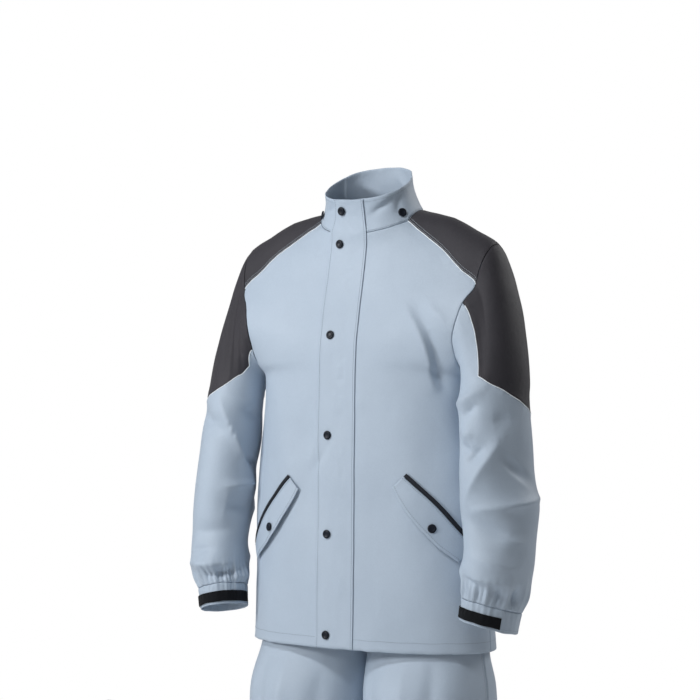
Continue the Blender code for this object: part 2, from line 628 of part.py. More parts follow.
def leg_grid(table):
    """One leg panel; its fine rows run from the side seam to the centre or inner seam."""
    grid = []
    for row in smooth_rows(table, LEG_STEPS, slice(0, 3)):
        values = dict(zip(LEG_FIELDS, row))
        side = np.array((values["side_x"], values["side_y"], values["side_z"]))
        end = np.array((max(0.0, values["end_x"]), values["end_y"], values["end_z"]))
        inward = np.array((values["in_x"], values["in_y"], 0.0))
        forward = np.array((0.0, math.copysign(values["ahead"], end[1] + inward[1] - side[1]), 0.0))
        curve = bezier(side, side + forward, end + inward, end)
        length = np.sum(np.linalg.norm(np.diff(curve, axis=0), axis=1))
        points, _ = points_along(curve, [length * k / LEG_COLUMNS for k in range(LEG_COLUMNS + 1)])
        points[0], points[-1] = side, end
        grid.append(points)
    return fold_leg(np.array(grid))


def collar_grid(loop):
    """The stand collar, from its seam up, a little hollow half way; it leans forward most behind."""
    count = len(loop)
    grid = []
    for r in range(COLLAR_ROWS + 1):
        rise = r / COLLAR_ROWS
        ring = []
        for point in loop:
            back = fade_over(point[1], *NECK_DEPTH)
            height = COLLAR_TOPS[0] + (COLLAR_TOPS[1] - COLLAR_TOPS[0]) * back - point[2]
            forward = COLLAR_LEAN_BACK * back + COLLAR_LEAN_FRONT * (1 - back)
            lean = np.array((-COLLAR_LEAN_IN * point[0] * rise, -forward * rise, 0.0))
            hollow = COLLAR_HOLLOW * math.sin(math.pi * rise)
            out = np.array((point[0], point[1], 0.0))
            out = out / np.linalg.norm(out)
            ring.append(point + lean - out * hollow + np.array((0.0, 0.0, height * rise)))
        grid.append(ring)
    return np.array(grid).reshape(COLLAR_ROWS + 1, count, 3)


def front_point(grid, distance, height):
    """The point of a left front this far round from the centre front, and its outward normal."""
    spots = []
    for d, z in ((distance, height), (distance + NORMAL_STEP, height), (distance, height + NORMAL_STEP)):
        row = int(np.argmax(grid[:, 0, 2] > z))
        low, high = (points_along(line, [d])[0][0] for line in grid[row - 1:row + 1])
        spots.append(low + (high - low) * (z - low[2]) / (high[2] - low[2]))
    normal = np.cross(spots[1] - spots[0], spots[2] - spots[0])
    return spots[0], normal / np.linalg.norm(normal)


def pocket_grid(front, ends, low_edge, high_edge, lift_low, lift_high, rows):
    """A patch along the slanted pocket, between two offsets square to it, lifted off the front."""
    top, low = np.array(ends)
    along = (low - top) / np.linalg.norm(low - top)
    square = np.array((along[1], -along[0]))
    grid = []
    for r in range(rows + 1):
        part = r / rows
        line = []
        for k in range(POCKET_STEPS + 1):
            run = k / POCKET_STEPS
            start = top + (low - top) * run - square * POCKET_BOW * math.sin(math.pi * run)
            offset = low_edge(run) + (high_edge(run) - low_edge(run)) * part
            stands = POCKET_END_STANDS + (1 - POCKET_END_STANDS) * math.sin(math.pi * run)
            lift = lift_low + (lift_high - lift_low) * part * stands
            spot = start + square * offset
            point, normal = front_point(front, spot[0], spot[1])
            line.append(point + normal * lift)
        grid.append(line)
    return np.array(grid)


def build_jacket():
    fixed = {"l": [FLAP_SEWN_EDGE / 2, FLAP_SEWN_EDGE], "r": [FLAP_FREE_EDGE / 2, FLAP_FREE_EDGE]}
    front_rows = smooth_rows(FRONT_ROWS, BODY_STEPS)
    back_rows = smooth_rows(BACK_ROWS, BODY_STEPS)
    underarm = sum(BODY_STEPS[:5])
    tip = underarm + ARMHOLE_ROWS
    half_back = body_grid(back_rows, [])
    plain = {"l": body_grid(front_rows, fixed["l"]), "r": body_grid(front_rows, fixed["r"])}
    for side in plain:
        plain[side][:underarm + 1, -1] = half_back[:underarm + 1, -1]
    front = {"l": fold_body(plain["l"].copy()), "r": fold_body(mirror(plain["r"]))}
    backs = {"l": fold_body(half_back.copy()), "r": fold_body(mirror(half_back))}
    back = np.concatenate((backs["r"][:, ::-1], backs["l"][:, 1:]), axis=1)
    pieces = [
        piece_of("front_left", front["l"], "shell", inside=body_inside, surface="body"),
        piece_of("front_right", front["r"], "shell", inside=body_inside, surface="body"),
        piece_of("back", back, "shell", inside=body_inside, surface="body"),
    ]
    loops = {}
    sleeves = {}
    for side in ("l", "r"):
        back_half = backs[side]
        base = yoke_grid(plain[side], half_back, tip)
        yoke = base if side == "l" else mirror(base)
        yoke[:, 0] = front[side][tip:, -1]
        yoke[:, -1] = back_half[tip:, -1]
        word = "left" if side == "l" else "right"
        pieces.append(piece_of("yoke_" + word, yoke, "charcoal", inside=body_inside, surface="body"))
        armhole = back_half[tip - 1:underarm:-1, -1]
        loop = np.concatenate((front[side][underarm:tip, -1], yoke[0], armhole))
        twist = SLEEVE_TWIST[side]
        sleeve = sleeve_grid(loop if side == "l" else mirror(loop), side)
        cuff = cuff_grid(sleeve[-1], twist)
        if side == "r":
            sleeve, cuff = mirror(sleeve), mirror(cuff)
        sleeve[0] = loop
        sleeves[side] = (sleeve, cuff)
        centre = lambda p, s=sleeve: s[int(np.argmin(abs(s[:, 0, 2] - p[2])))].mean(axis=0)
        first, last = PANEL_COLUMNS[side]
        in_panel = lambda r, c, a=first, b=last: r < SLEEVE_TOP_ROWS and a <= c < b
        arm = {"inside": centre, "wrap": True, "surface": "arm_" + word, "gap": SLEEVE_SEAM_GAP / 2}
        below = lambda r, c, f=in_panel: not f(r, c)
        pieces.append(piece_of("sleeve_" + word, sleeve, "shell", keep=below, **arm))
        pieces.append(piece_of("sleeve_panel_" + word, sleeve, "charcoal", keep=in_panel, **arm))
        pieces.append(piece_of("cuff_" + word, cuff, "shell", **arm))
        loops[side] = yoke[-1]
    neck = np.concatenate((front["l"][-1], loops["l"][1:], back[-1][::-1][1:], loops["r"][::-1][1:],
                           front["r"][-1][::-1][1:]))
    collar = collar_grid(neck)
    pieces.append(piece_of("collar", collar, "shell", inside=body_inside))
    normals = shared_normals(pieces)
    for piece in pieces:
        wall_object(piece, normals)
    build_flap(front, collar, normals)
    build_collar_snaps(collar, normals)
    build_straps(sleeves, normals)
    build_pockets({"l": front["l"], "r": mirror(front["r"])})


def flap_points(grid, height):
    """The storm flap's points at a height: on its free edge, its middle and the centre front."""
    heights = grid[:, 2, 2]
    return np.array([[np.interp(height, heights, grid[:, c, a]) for a in range(3)] for c in (0, 1, 2)])


def build_flap(front, collar, normals):
    """The storm flap, from the fronts' and collar's own points, moved out, with its snaps."""
    grid = []
    rows = len(front["l"])
    for r in range(rows):
        right, left = front["r"][r], front["l"][r]
        grid.append([right[2], right[1], left[0], left[1], left[2]])
    for r in range(1, COLLAR_ROWS + 1):
        ring = collar[r]
        grid.append([ring[-3], ring[-2], (ring[0] + ring[-1]) / 2, ring[1], ring[2]])
    out = WALL / 2 + LIE_GAP + FLAP_WALL / 2
    lifted = np.array([[point + normals[point_key(point)] * out for point in line] for line in grid])
    flap = piece_of("storm_flap", lifted, "shell", inside=body_inside, wall=FLAP_WALL, gap=FLAP_IN)
    own = shared_normals([flap])
    wall_object(flap, own)
    for k, height in enumerate(FLAP_SNAP_HEIGHTS + (lifted[rows + 1, 2, 2],)):
        low, line, high = (flap_points(lifted, height + d) for d in (-SNAP_RADIUS, 0.0, SNAP_RADIUS))
        spot = (line[1] + (low[1] + high[1]) / 2) / 2
        normal = np.cross(line[2] - line[0], high[1] - low[1])
        normal = normal / np.linalg.norm(normal)
        seat = spot + normal * (FLAP_WALL / 2 + SNAP_STANDS)
        snap_object("snap_%d" % (k + 1), seat, normal)


def build_collar_snaps(collar, normals):
    before = int(COLLAR_SNAP_COLUMN)
    share = COLLAR_SNAP_COLUMN - before
    for word, ring in (("left", collar), ("right", collar[:, ::-1])):
        line = ring[:, before] * (1 - share) + ring[:, before + 1] * share
        height = line[0, 2] + COLLAR_SNAP_HEIGHT
        spot = np.array([np.interp(height, line[:, 2], line[:, a]) for a in range(3)])
        normal = normals[point_key(ring[1, before])] + normals[point_key(ring[1, before + 1])]
        normal = normal / np.linalg.norm(normal)
        snap_object("collar_snap_" + word, spot + normal * (WALL / 2 + SNAP_STANDS + COLLAR_SNAP_OUT), normal)


def build_straps(sleeves, normals):
    """The hook-and-loop strap round the front of each cuff."""
    for side, word in (("l", "left"), ("r", "right")):
        _, cuff = sleeves[side]
        count = cuff.shape[1]
        columns = []
        for c in range(-count // 2, count):
            angle = math.pi + 2 * math.pi * c / count
            if STRAP_FROM <= angle + twist_at(SLEEVE_TWIST[side], angle) <= STRAP_TO:
                columns.append(c % count)
        grid = []
        out = WALL / 2 + LIE_GAP + STRAP_WALL / 2
        for part in (STRAP_TOP, (STRAP_TOP + STRAP_LOW) / 2, STRAP_LOW):
            line = []
            for c in columns:
                spot = cuff[0, c] + (cuff[-1, c] - cuff[0, c]) * part
                line.append(spot + normals[point_key(cuff[1, c])] * out)
            grid.append(line)
        middle = cuff.mean(axis=(0, 1))
        about = {"inside": lambda p: middle, "wall": STRAP_WALL}
        strap = piece_of("cuff_strap_" + word, np.array(grid), "webbing", **about)
        wall_object(strap, shared_normals([strap]))


def build_pockets(front):
    """A dark strip along each slanted opening and a flap that hangs from below it."""
    over = WALL + POCKET_LIE_GAP
    lie = {"inside": body_inside, "gap": 0.0}
    deep = lambda run: np.interp(run, list(POCKET_FLAP_DEPTHS), list(POCKET_FLAP_DEPTHS.values()))
    for side, word in (("l", "left"), ("r", "right")):
        flip = (lambda grid: grid) if side == "l" else mirror
        ends = POCKET_ENDS[side]
        above = lambda run: -POCKET_STRIP_WIDTH
        strip = pocket_grid(front[side], ends, above, lambda run: 0.0, over, over, 1)
        piece = piece_of("pocket_strip_" + word, flip(strip), "webbing", **lie)
        wall_object(piece, shared_normals([piece]))
        free = over + POCKET_FLAP_STANDS
        flap = pocket_grid(front[side], ends, lambda run: SEAM_GAP, deep, over, free, 3)
        piece = piece_of("pocket_flap_" + word, flip(flap), "shell", **lie)
        own = shared_normals([piece])
        wall_object(piece, own)
        spot = flip(flap)[2, round(POCKET_SNAP * POCKET_STEPS)]
        normal = own[point_key(spot)]
        snap_object("pocket_snap_" + word, spot + normal * (WALL / 2 + SNAP_STANDS), normal)


def build_trousers():
    front = leg_grid(LEG_FRONT_ROWS)
    back = leg_grid(LEG_BACK_ROWS)
    fork = sum(LEG_STEPS[:4])
    back[fork:, -1] = front[fork:, -1]
    pieces = []
    for side, word in (("l", "left"), ("r", "right")):
        flip = (lambda grid: grid) if side == "l" else mirror
        sign = 1.0 if side == "l" else -1.0
        inside = lambda p, s=sign: np.array((s * LEG_AXIS_X * fade_over(p[2], *FORK_FADE), 0.0, p[2]))
        pieces.append(piece_of("trouser_front_" + word, flip(front), "shell", inside=inside))
        pieces.append(piece_of("trouser_back_" + word, flip(back), "shell", inside=inside))
    top = np.concatenate((front[0], mirror(front[0])[::-1][1:], mirror(back[0])[1:], back[0][::-1][1:-1]))
    band = np.array([top, top + np.array((0.0, 0.0, WAISTBAND_HEIGHT))])
    middle = lambda p: np.array((0.0, BODY_AXIS_Y, p[2]))
    pieces.append(piece_of("waistband", band, "shell", inside=middle, wrap=True))
    normals = shared_normals(pieces)
    for piece in pieces:
        wall_object(piece, normals)


remove_all()
build_jacket()
build_trousers()
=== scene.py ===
# Rain suit as worn: a snap-front jacket with dark shoulder yokes over its trousers.
# Metres, +Z up. The wearer faces -Y and the wearer's left is +X.

import math
import bpy
import numpy as np
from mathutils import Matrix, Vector, kdtree, noise


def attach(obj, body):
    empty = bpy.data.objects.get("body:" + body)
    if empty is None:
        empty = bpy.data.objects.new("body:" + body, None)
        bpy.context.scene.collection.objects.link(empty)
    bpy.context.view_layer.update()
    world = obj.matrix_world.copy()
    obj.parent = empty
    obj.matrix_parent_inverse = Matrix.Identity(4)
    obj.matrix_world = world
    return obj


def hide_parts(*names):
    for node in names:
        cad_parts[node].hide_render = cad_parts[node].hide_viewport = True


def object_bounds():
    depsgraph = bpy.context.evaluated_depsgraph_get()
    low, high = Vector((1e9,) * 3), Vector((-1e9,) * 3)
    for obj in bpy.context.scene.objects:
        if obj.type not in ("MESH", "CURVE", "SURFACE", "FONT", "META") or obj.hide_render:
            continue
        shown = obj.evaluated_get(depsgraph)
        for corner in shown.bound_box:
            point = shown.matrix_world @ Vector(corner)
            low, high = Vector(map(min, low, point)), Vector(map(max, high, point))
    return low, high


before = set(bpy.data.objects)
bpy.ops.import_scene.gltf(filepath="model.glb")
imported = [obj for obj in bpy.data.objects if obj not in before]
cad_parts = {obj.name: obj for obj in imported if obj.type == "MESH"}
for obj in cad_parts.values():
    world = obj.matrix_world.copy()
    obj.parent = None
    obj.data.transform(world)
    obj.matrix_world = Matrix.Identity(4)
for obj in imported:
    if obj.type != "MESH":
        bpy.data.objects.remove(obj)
cadLow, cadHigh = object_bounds()
print("frame loaded:", len(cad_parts), "solids")

# Cloth everywhere. The panels are cut from the same tables as the solids, on a finer grid.
cloth = {
    "wall": 0.0016,
    "seamGap": 0.0005,
    "rowsFiner": 6,
    "columnsFiner": 8,
    "sharpAngle": math.radians(50),
    "waves": ((11.0, 0.0013), (27.0, 0.0006)),  # how fine, how deep
    "pucker": {"fine": 85.0, "deep": 0.0008, "wide": 0.011},
    "wander": {"fine": 42.0, "far": 0.0011, "wide": 0.014},  # how a seam strays from its line
}
fineRows = cloth["rowsFiner"]
fineColumns = cloth["columnsFiner"]


# Curves and tables

def smoothRows(table, steps, spacedBy=slice(None)):
    rows = np.array(list(table.values()), dtype=float)
    reach = np.linalg.norm(np.diff(rows[:, spacedBy], axis=0), axis=1) + 1e-6
    knots = np.concatenate(([0.0], np.cumsum(reach)))
    slopes = np.gradient(rows, knots, axis=0)
    out = [rows[0]]
    for i, count in enumerate(steps):
        span = knots[i + 1] - knots[i]
        for k in range(1, count + 1):
            out.append(hermite(rows[i], slopes[i] * span, rows[i + 1], slopes[i + 1] * span, k / count))
    return np.array(out)


def hermite(a, slopeA, b, slopeB, s):
    return ((2 * s**3 - 3 * s**2 + 1) * a + (s**3 - 2 * s**2 + s) * slopeA
            + (3 * s**2 - 2 * s**3) * b + (s**3 - s**2) * slopeB)


def bezier(a, b, c, d, count=160):
    s = np.linspace(0.0, 1.0, count)[:, None]
    return (1 - s)**3 * a + 3 * s * (1 - s)**2 * b + 3 * s**2 * (1 - s) * c + s**3 * d


def runOf(curve):
    return np.concatenate(([0.0], np.cumsum(np.linalg.norm(np.diff(curve, axis=0), axis=1))))


def pointsAlong(curve, distances):
    run = runOf(curve)
    return np.stack([np.interp(distances, run, curve[:, k]) for k in range(curve.shape[1])], axis=-1)


def evenly(curve, count):
    return pointsAlong(curve, np.linspace(0.0, runOf(curve)[-1], count + 1))


def fadeOver(value, none, full):
    return np.clip((value - none) / (full - none), 0.0, 1.0)


def mirrored(grid):
    return grid * np.array((-1.0, 1.0, 1.0))


def unit(vectors):
    return vectors / np.maximum(np.linalg.norm(vectors, axis=-1, keepdims=True), 1e-12)


# A fold is a ridge, or a trough where its depth is below 0. It runs from one angle (degrees) and
# height to another. crisp is 2 for a soft swell and nearer 1 for a sharp crest.
foldFields = ("fromAngle", "fromZ", "toAngle", "toZ", "width", "depth", "crisp")


def foldDepth(folds, radius, angle, z):
    total = np.zeros(np.broadcast(angle, z).shape)
    for fold in folds:
        part = dict(zip(foldFields, fold))
        turn = (angle - part["fromAngle"] + 180.0) % 360.0 - 180.0
        hereX = radius * np.radians(turn)
        hereZ = z - part["fromZ"]
        runX = radius * math.radians(part["toAngle"] - part["fromAngle"])
        runZ = part["toZ"] - part["fromZ"]
        along = np.clip((hereX * runX + hereZ * runZ) / (runX**2 + runZ**2), 0.0, 1.0)
        off = np.hypot(hereX - runX * along, hereZ - runZ * along)
        taper = 0.35 + 0.65 * np.sin(math.pi * along)
        total += part["depth"] * taper * np.exp(-(off / part["width"])**part["crisp"])
    return total


# Jacket body: a row runs from the centre to the side seam, armhole or yoke seam
body = {
    "fields": ("centreY", "centreZ", "reach", "edgeX", "edgeY", "edgeZ", "inX", "inY", "inZ"),
    "frontRows": {
        "hem": (-0.1013, -0.741, 0.143, 0.233, 0.005, -0.741, 0.000, -0.062, 0.000),
        "hip": (-0.0985, -0.620, 0.140, 0.229, 0.005, -0.620, 0.000, -0.061, 0.000),
        "waist": (-0.0965, -0.500, 0.138, 0.227, 0.005, -0.500, 0.000, -0.060, 0.000),
        "ribs": (-0.0954, -0.390, 0.135, 0.217, 0.005, -0.390, 0.000, -0.062, 0.000),
        "lowArm": (-0.0938, -0.325, 0.134, 0.207, 0.005, -0.325, 0.000, -0.064, 0.000),
        "underarm": (-0.0925, -0.282, 0.135, 0.205, 0.005, -0.290, 0.000, -0.066, 0.000),
        "armholeLow": (-0.0905, -0.250, 0.115, 0.203, -0.046, -0.262, -0.025, -0.036, 0.000),
        "armholeMid": (-0.0870, -0.215, 0.095, 0.207, -0.073, -0.206, -0.060, -0.012, 0.000),
        "armholeHigh": (-0.0790, -0.175, 0.098, 0.219, -0.063, -0.160, -0.065, -0.012, 0.000),
        "tip": (-0.0735, -0.150, 0.100, 0.233, -0.045, -0.130, -0.065, -0.022, -0.004),
        "yokeOut": (-0.0670, -0.122, 0.090, 0.202, -0.043, -0.103, -0.055, -0.016, -0.006),
        "yokeMid": (-0.0610, -0.090, 0.075, 0.160, -0.036, -0.067, -0.045, -0.015, -0.008),
        "yokeIn": (-0.0575, -0.064, 0.060, 0.122, -0.029, -0.042, -0.035, -0.016, -0.007),
        "neck": (-0.0580, -0.040, 0.045, 0.088, -0.022, -0.020, -0.016, -0.026, -0.008),
    },
    "backRows": {
        "hem": (0.130, -0.745, 0.143, 0.233, 0.005, -0.741, 0.000, 0.075, 0.000),
        "hip": (0.125, -0.620, 0.140, 0.229, 0.005, -0.620, 0.000, 0.073, 0.000),
        "waist": (0.118, -0.500, 0.138, 0.227, 0.005, -0.500, 0.000, 0.070, 0.000),
        "ribs": (0.120, -0.390, 0.131, 0.217, 0.005, -0.390, 0.000, 0.070, 0.000),
        "lowArm": (0.125, -0.325, 0.126, 0.207, 0.005, -0.325, 0.000, 0.073, 0.000),
        "underarm": (0.128, -0.285, 0.125, 0.205, 0.005, -0.290, 0.000, 0.075, 0.000),
        "armholeLow": (0.130, -0.245, 0.120, 0.212, 0.065, -0.255, -0.022, 0.042, 0.000),
        "armholeMid": (0.131, -0.195, 0.110, 0.224, 0.085, -0.200, -0.050, 0.030, 0.000),
        "armholeHigh": (0.127, -0.150, 0.110, 0.232, 0.070, -0.155, -0.060, 0.028, 0.000),
        "tip": (0.122, -0.120, 0.105, 0.234, 0.052, -0.125, -0.060, 0.035, 0.000),
        "yokeOut": (0.112, -0.085, 0.095, 0.203, 0.052, -0.098, -0.050, 0.030, 0.004),
        "yokeMid": (0.098, -0.050, 0.080, 0.160, 0.050, -0.062, -0.040, 0.026, 0.006),
        "yokeIn": (0.087, -0.018, 0.060, 0.122, 0.050, -0.034, -0.030, 0.020, 0.006),
        "neck": (0.076, 0.010, 0.045, 0.080, 0.040, -0.006, -0.012, 0.024, 0.006),
    },
    "steps": (3, 3, 3, 2, 2, 2, 2, 2, 1, 2, 2, 1, 1),
    "columns": 8,
    "armholeRows": 7,
    "axisY": 0.012,
    "topInside": -0.10,
    "radius": 0.18,
    "foldsFade": (-0.10, -0.18),
    "folds": (
        (53, -0.165, 65, -0.300, 0.008, 0.0080, 1.0),
        (58, -0.165, 70, -0.300, 0.011, -0.0140, 1.4),
        (61, -0.150, 66, -0.205, 0.006, 0.0090, 1.0),
        (80, -0.300, 84, -0.420, 0.020, -0.0060, 1.8),
        (-22, -0.372, -34, -0.448, 0.012, 0.0022, 1.2),
        (-12, -0.400, -32, -0.450, 0.011, -0.0018, 1.5),
        (14, -0.318, 24, -0.335, 0.009, 0.0016, 1.2),
        (50, -0.330, 62, -0.700, 0.030, 0.0040, 2),
        (-62, -0.300, -38, -0.560, 0.030, 0.0045, 2),
        (-50, -0.560, -66, -0.740, 0.026, 0.0040, 2),
        (102, -0.540, 98, -0.741, 0.024, -0.0065, 1.7),
        (-104, -0.500, -98, -0.741, 0.024, -0.0065, 1.7),
        (124, -0.250, 160, -0.360, 0.018, -0.0085, 1.4),
        (118, -0.270, 150, -0.410, 0.013, 0.0050, 1.2),
        (-122, -0.250, -152, -0.380, 0.018, -0.0085, 1.4),
        (-118, -0.285, -144, -0.400, 0.012, 0.0050, 1.2),
        (178, -0.420, 172, -0.744, 0.026, 0.0085, 1.5),
        (140, -0.460, 132, -0.743, 0.022, 0.0080, 1.4),
        (-144, -0.440, -136, -0.743, 0.024, 0.0080, 1.4),
        (158, -0.540, 155, -0.743, 0.019, -0.0065, 1.6),
    ),
}


def bodyCurve(row):
    values = dict(zip(body["fields"], row))
    start = np.array((0.0, values["centreY"], values["centreZ"]))
    end = np.array((values["edgeX"], values["edgeY"], values["edgeZ"]))
    inward = np.array((values["inX"], values["inY"], values["inZ"]))
    return bezier(start, start + np.array((values["reach"], 0.0, 0.0)), end + inward, end)


def bodyGrid(table, fixed=None):
    steps = [n * fineRows for n in body["steps"]]
    grid = []
    for row in smoothRows(table, steps):
        curve = bodyCurve(row)
        length = runOf(curve)[-1]
        if fixed is None:
            stops = np.linspace(0.0, length, body["columns"] * fineColumns + 1)
        else:
            near = np.linspace(0.0, fixed, 2 * fineColumns + 1)
            far = np.linspace(fixed, length, (body["columns"] - 2) * fineColumns + 1)
            stops = np.concatenate((near, far[1:]))
        grid.append(pointsAlong(curve, stops))
    return np.array(grid)


def foldBody(grid):
    out = grid * np.array((1.0, 1.0, 0.0)) - np.array((0.0, body["axisY"], 0.0))
    angle = np.degrees(np.arctan2(out[..., 0], -out[..., 1]))
    depth = foldDepth(body["folds"], body["radius"], angle, grid[..., 2])
    depth *= fadeOver(grid[..., 2], *body["foldsFade"])
    return grid + unit(out) * depth[..., None]


# Shoulder yoke: the handles of its arch, over the shoulder from the front seam to the back one
yoke = {
    "fields": ("frontX", "frontY", "frontZ", "backX", "backY", "backZ"),
    "rows": {
        "tip": (0.016, 0.012, 0.090, 0.015, -0.014, 0.085),
        "yokeOut": (0.000, 0.016, 0.088, 0.000, -0.016, 0.083),
        "yokeMid": (0.000, 0.020, 0.069, 0.000, -0.020, 0.064),
        "yokeIn": (0.002, 0.016, 0.047, 0.004, -0.014, 0.039),
        "neck": (0.008, 0.010, 0.022, 0.013, -0.010, 0.014),
    },
    "steps": (2, 2, 1, 1),
    "columns": 8,
}


def yokeGrid(front, back, tipRow):
    grid = []
    for k, row in enumerate(smoothRows(yoke["rows"], [n * fineRows for n in yoke["steps"]])):
        values = dict(zip(yoke["fields"], row))
        a = front[tipRow + k, -1]
        d = back[tipRow + k, -1]
        b = a + np.array((values["frontX"], values["frontY"], values["frontZ"]))
        c = d + np.array((values["backX"], values["backY"], values["backZ"]))
        grid.append(evenly(bezier(a, b, c, d), yoke["columns"] * fineRows))
    return np.array(grid)


# Sleeves: oval rings with their half lengths, and how a ring's plane rises with x and y. Angle 0 is
# the outer side and -90 the front; the wearer's right sleeve is mirrored.
sleeve = {
    "fields": ("z", "x", "y", "long", "short", "riseX", "riseY"),
    "rows": {
        "upperArm": (-0.300, 0.2610, -0.0290, 0.0620, 0.0460, 0.35, 0.00),
        "biceps": (-0.390, 0.2690, -0.0400, 0.0635, 0.0490, 0.00, 0.00),
        "aboveElbow": (-0.455, 0.2750, -0.0450, 0.0660, 0.0500, 0.00, 0.00),
        "elbow": (-0.490, 0.2770, -0.0435, 0.0670, 0.0530, 0.00, 0.00),
        "forearm": (-0.553, 0.2823, -0.0505, 0.0630, 0.0485, 0.00, 0.00),
        "lowForearm": (-0.600, 0.2800, -0.0555, 0.0625, 0.0487, -0.08, -0.05),
        "gathers": (-0.632, 0.2765, -0.0565, 0.0575, 0.0450, -0.16, -0.10),
        "cuffTop": (-0.654, 0.2705, -0.0590, 0.0520, 0.0410, -0.22, -0.145),
    },
    "cuffEnd": (-0.690, 0.2655, -0.0620, 0.0500, 0.0405, -0.22, -0.145),
    "turn": math.radians(65.5),
    "twist": {"l": 0.0, "r": math.radians(-45)},
    "twistUnder": 0.5,
    "ringSteps": 20,
    "capPoints": 48,
    "capLeaves": (0.95, 0.10, -0.75),
    "capTopAdds": (-0.25, 0.00, 0.10),
    "capPull": 0.85,
    "capEase": 0.42,
    "topRows": 10,
    "lowRows": 16,
    "panelColumns": {"l": (6, 17), "r": (3, 17)},
    "lowerEdge": {
        "l": {0: -0.352, 2: -0.340, 4: -0.308, 6: -0.280, 9: -0.307, 13: -0.343, 15: -0.333, 17: -0.308,
              19: -0.322, 21: -0.345, 22: -0.352},
        "r": {0: -0.335, 3: -0.265, 6: -0.282, 9: -0.310, 13: -0.340, 15: -0.333, 17: -0.308, 19: -0.322,
              21: -0.338, 22: -0.335},
    },
    "radius": 0.058,
    "foldsFade": (-0.654, -0.640),
    "gather": {"deep": 0.0032, "z": -0.636, "wide": 0.018, "fine": 0.0016},
    "folds": {
        "l": (
            (-93, -0.497, 33, -0.479, 0.013, 0.0123, 1.05),
            (-41, -0.374, -110, -0.482, 0.014, 0.0109, 1.1),
            (-14, -0.420, -30, -0.440, 0.028, -0.0094, 2),
            (-72, -0.395, -104, -0.420, 0.010, -0.0080, 1.5),
            (-118, -0.372, -92, -0.380, 0.008, 0.0072, 1.2),
            (-126, -0.392, -98, -0.402, 0.008, -0.0080, 1.4),
            (-109, -0.512, -40, -0.541, 0.013, -0.0094, 1.5),
            (-60, -0.545, -12, -0.552, 0.010, 0.0065, 1.2),
            (-100, -0.572, -24, -0.592, 0.012, 0.0080, 1.2),
            (-145, -0.597, -24, -0.620, 0.011, 0.0116, 1.05),
            (-129, -0.599, -80, -0.617, 0.009, -0.0116, 1.4),
            (-72, -0.612, -40, -0.640, 0.009, -0.0072, 1.4),
            (-20, -0.622, -6, -0.650, 0.012, -0.0123, 1.5),
            (-145, -0.330, -71, -0.302, 0.012, 0.0101, 1.15),
            (-118, -0.345, -86, -0.328, 0.009, -0.0080, 1.4),
            (-58, -0.352, -28, -0.349, 0.012, -0.0050, 1.5),
            (60, -0.470, 140, -0.500, 0.013, -0.0116, 1.4),
            (50, -0.500, 130, -0.525, 0.012, 0.0116, 1.1),
            (120, -0.400, 200, -0.440, 0.014, 0.0087, 1.3),
            (60, -0.585, 150, -0.600, 0.012, 0.0094, 1.15),
        ),
        "r": (
            (-94, -0.320, -187, -0.464, 0.014, 0.0123, 1.1),
            (-40, -0.347, -114, -0.377, 0.013, -0.0101, 1.6),
            (-150, -0.345, -190, -0.352, 0.009, -0.0072, 1.4),
            (-125, -0.474, -192, -0.470, 0.009, 0.0101, 1.05),
            (-130, -0.506, -192, -0.512, 0.023, -0.0140, 1.7),
            (-165, -0.425, -205, -0.440, 0.009, -0.0087, 1.4),
            (-60, -0.555, -150, -0.550, 0.015, -0.0080, 1.7),
            (-45, -0.612, -155, -0.607, 0.011, 0.0116, 1.05),
            (-95, -0.628, -165, -0.622, 0.009, -0.0101, 1.5),
            (-60, -0.590, -110, -0.582, 0.010, -0.0065, 1.5),
            (-150, -0.634, -195, -0.636, 0.016, 0.0110, 1.7),
            (-214, -0.345, -214, -0.450, 0.024, 0.0060, 2),
            (60, -0.470, 140, -0.495, 0.013, -0.0116, 1.4),
            (50, -0.500, 130, -0.520, 0.012, 0.0116, 1.1),
            (60, -0.590, 140, -0.605, 0.012, 0.0094, 1.15),
        ),
    },
}


def ringPoints(rows, angle):
    z, x, y, longHalf, shortHalf, riseX, riseY = np.atleast_2d(rows).T
    along = longHalf * np.cos(angle - sleeve["turn"])
    across = shortHalf * np.sin(angle - sleeve["turn"])
    offX = along * math.cos(sleeve["turn"]) - across * math.sin(sleeve["turn"])
    offY = along * math.sin(sleeve["turn"]) + across * math.cos(sleeve["turn"])
    return np.stack((x + offX, y + offY, z + offX * riseX + offY * riseY), axis=-1)


def twistAt(side, angle):
    under = sleeve["twistUnder"]
    return sleeve["twist"][side] * (under + (1 - under) * min(1.0, 1 + math.cos(angle)))


def foldSleeve(points, rows, angle, column, side):
    middle = np.stack((rows[:, 1], rows[:, 2], points[:, 2]), axis=-1)
    gather = sleeve["gather"]
    depth = foldDepth(sleeve["folds"][side], sleeve["radius"], math.degrees(angle), points[:, 2])
    depth = depth * fadeOver(rows[:, 0], *sleeve["foldsFade"])
    band = np.exp(-((rows[:, 0] - gather["z"]) / gather["wide"])**2)
    uneven = 0.75 + 0.25 * math.sin(2.3 * column)
    depth = depth - gather["deep"] * uneven * math.cos(math.pi * column) * band
    depth = depth + gather["fine"] * math.sin(2.7 * math.pi * column) * band
    return points + unit(points - middle) * depth[:, None]


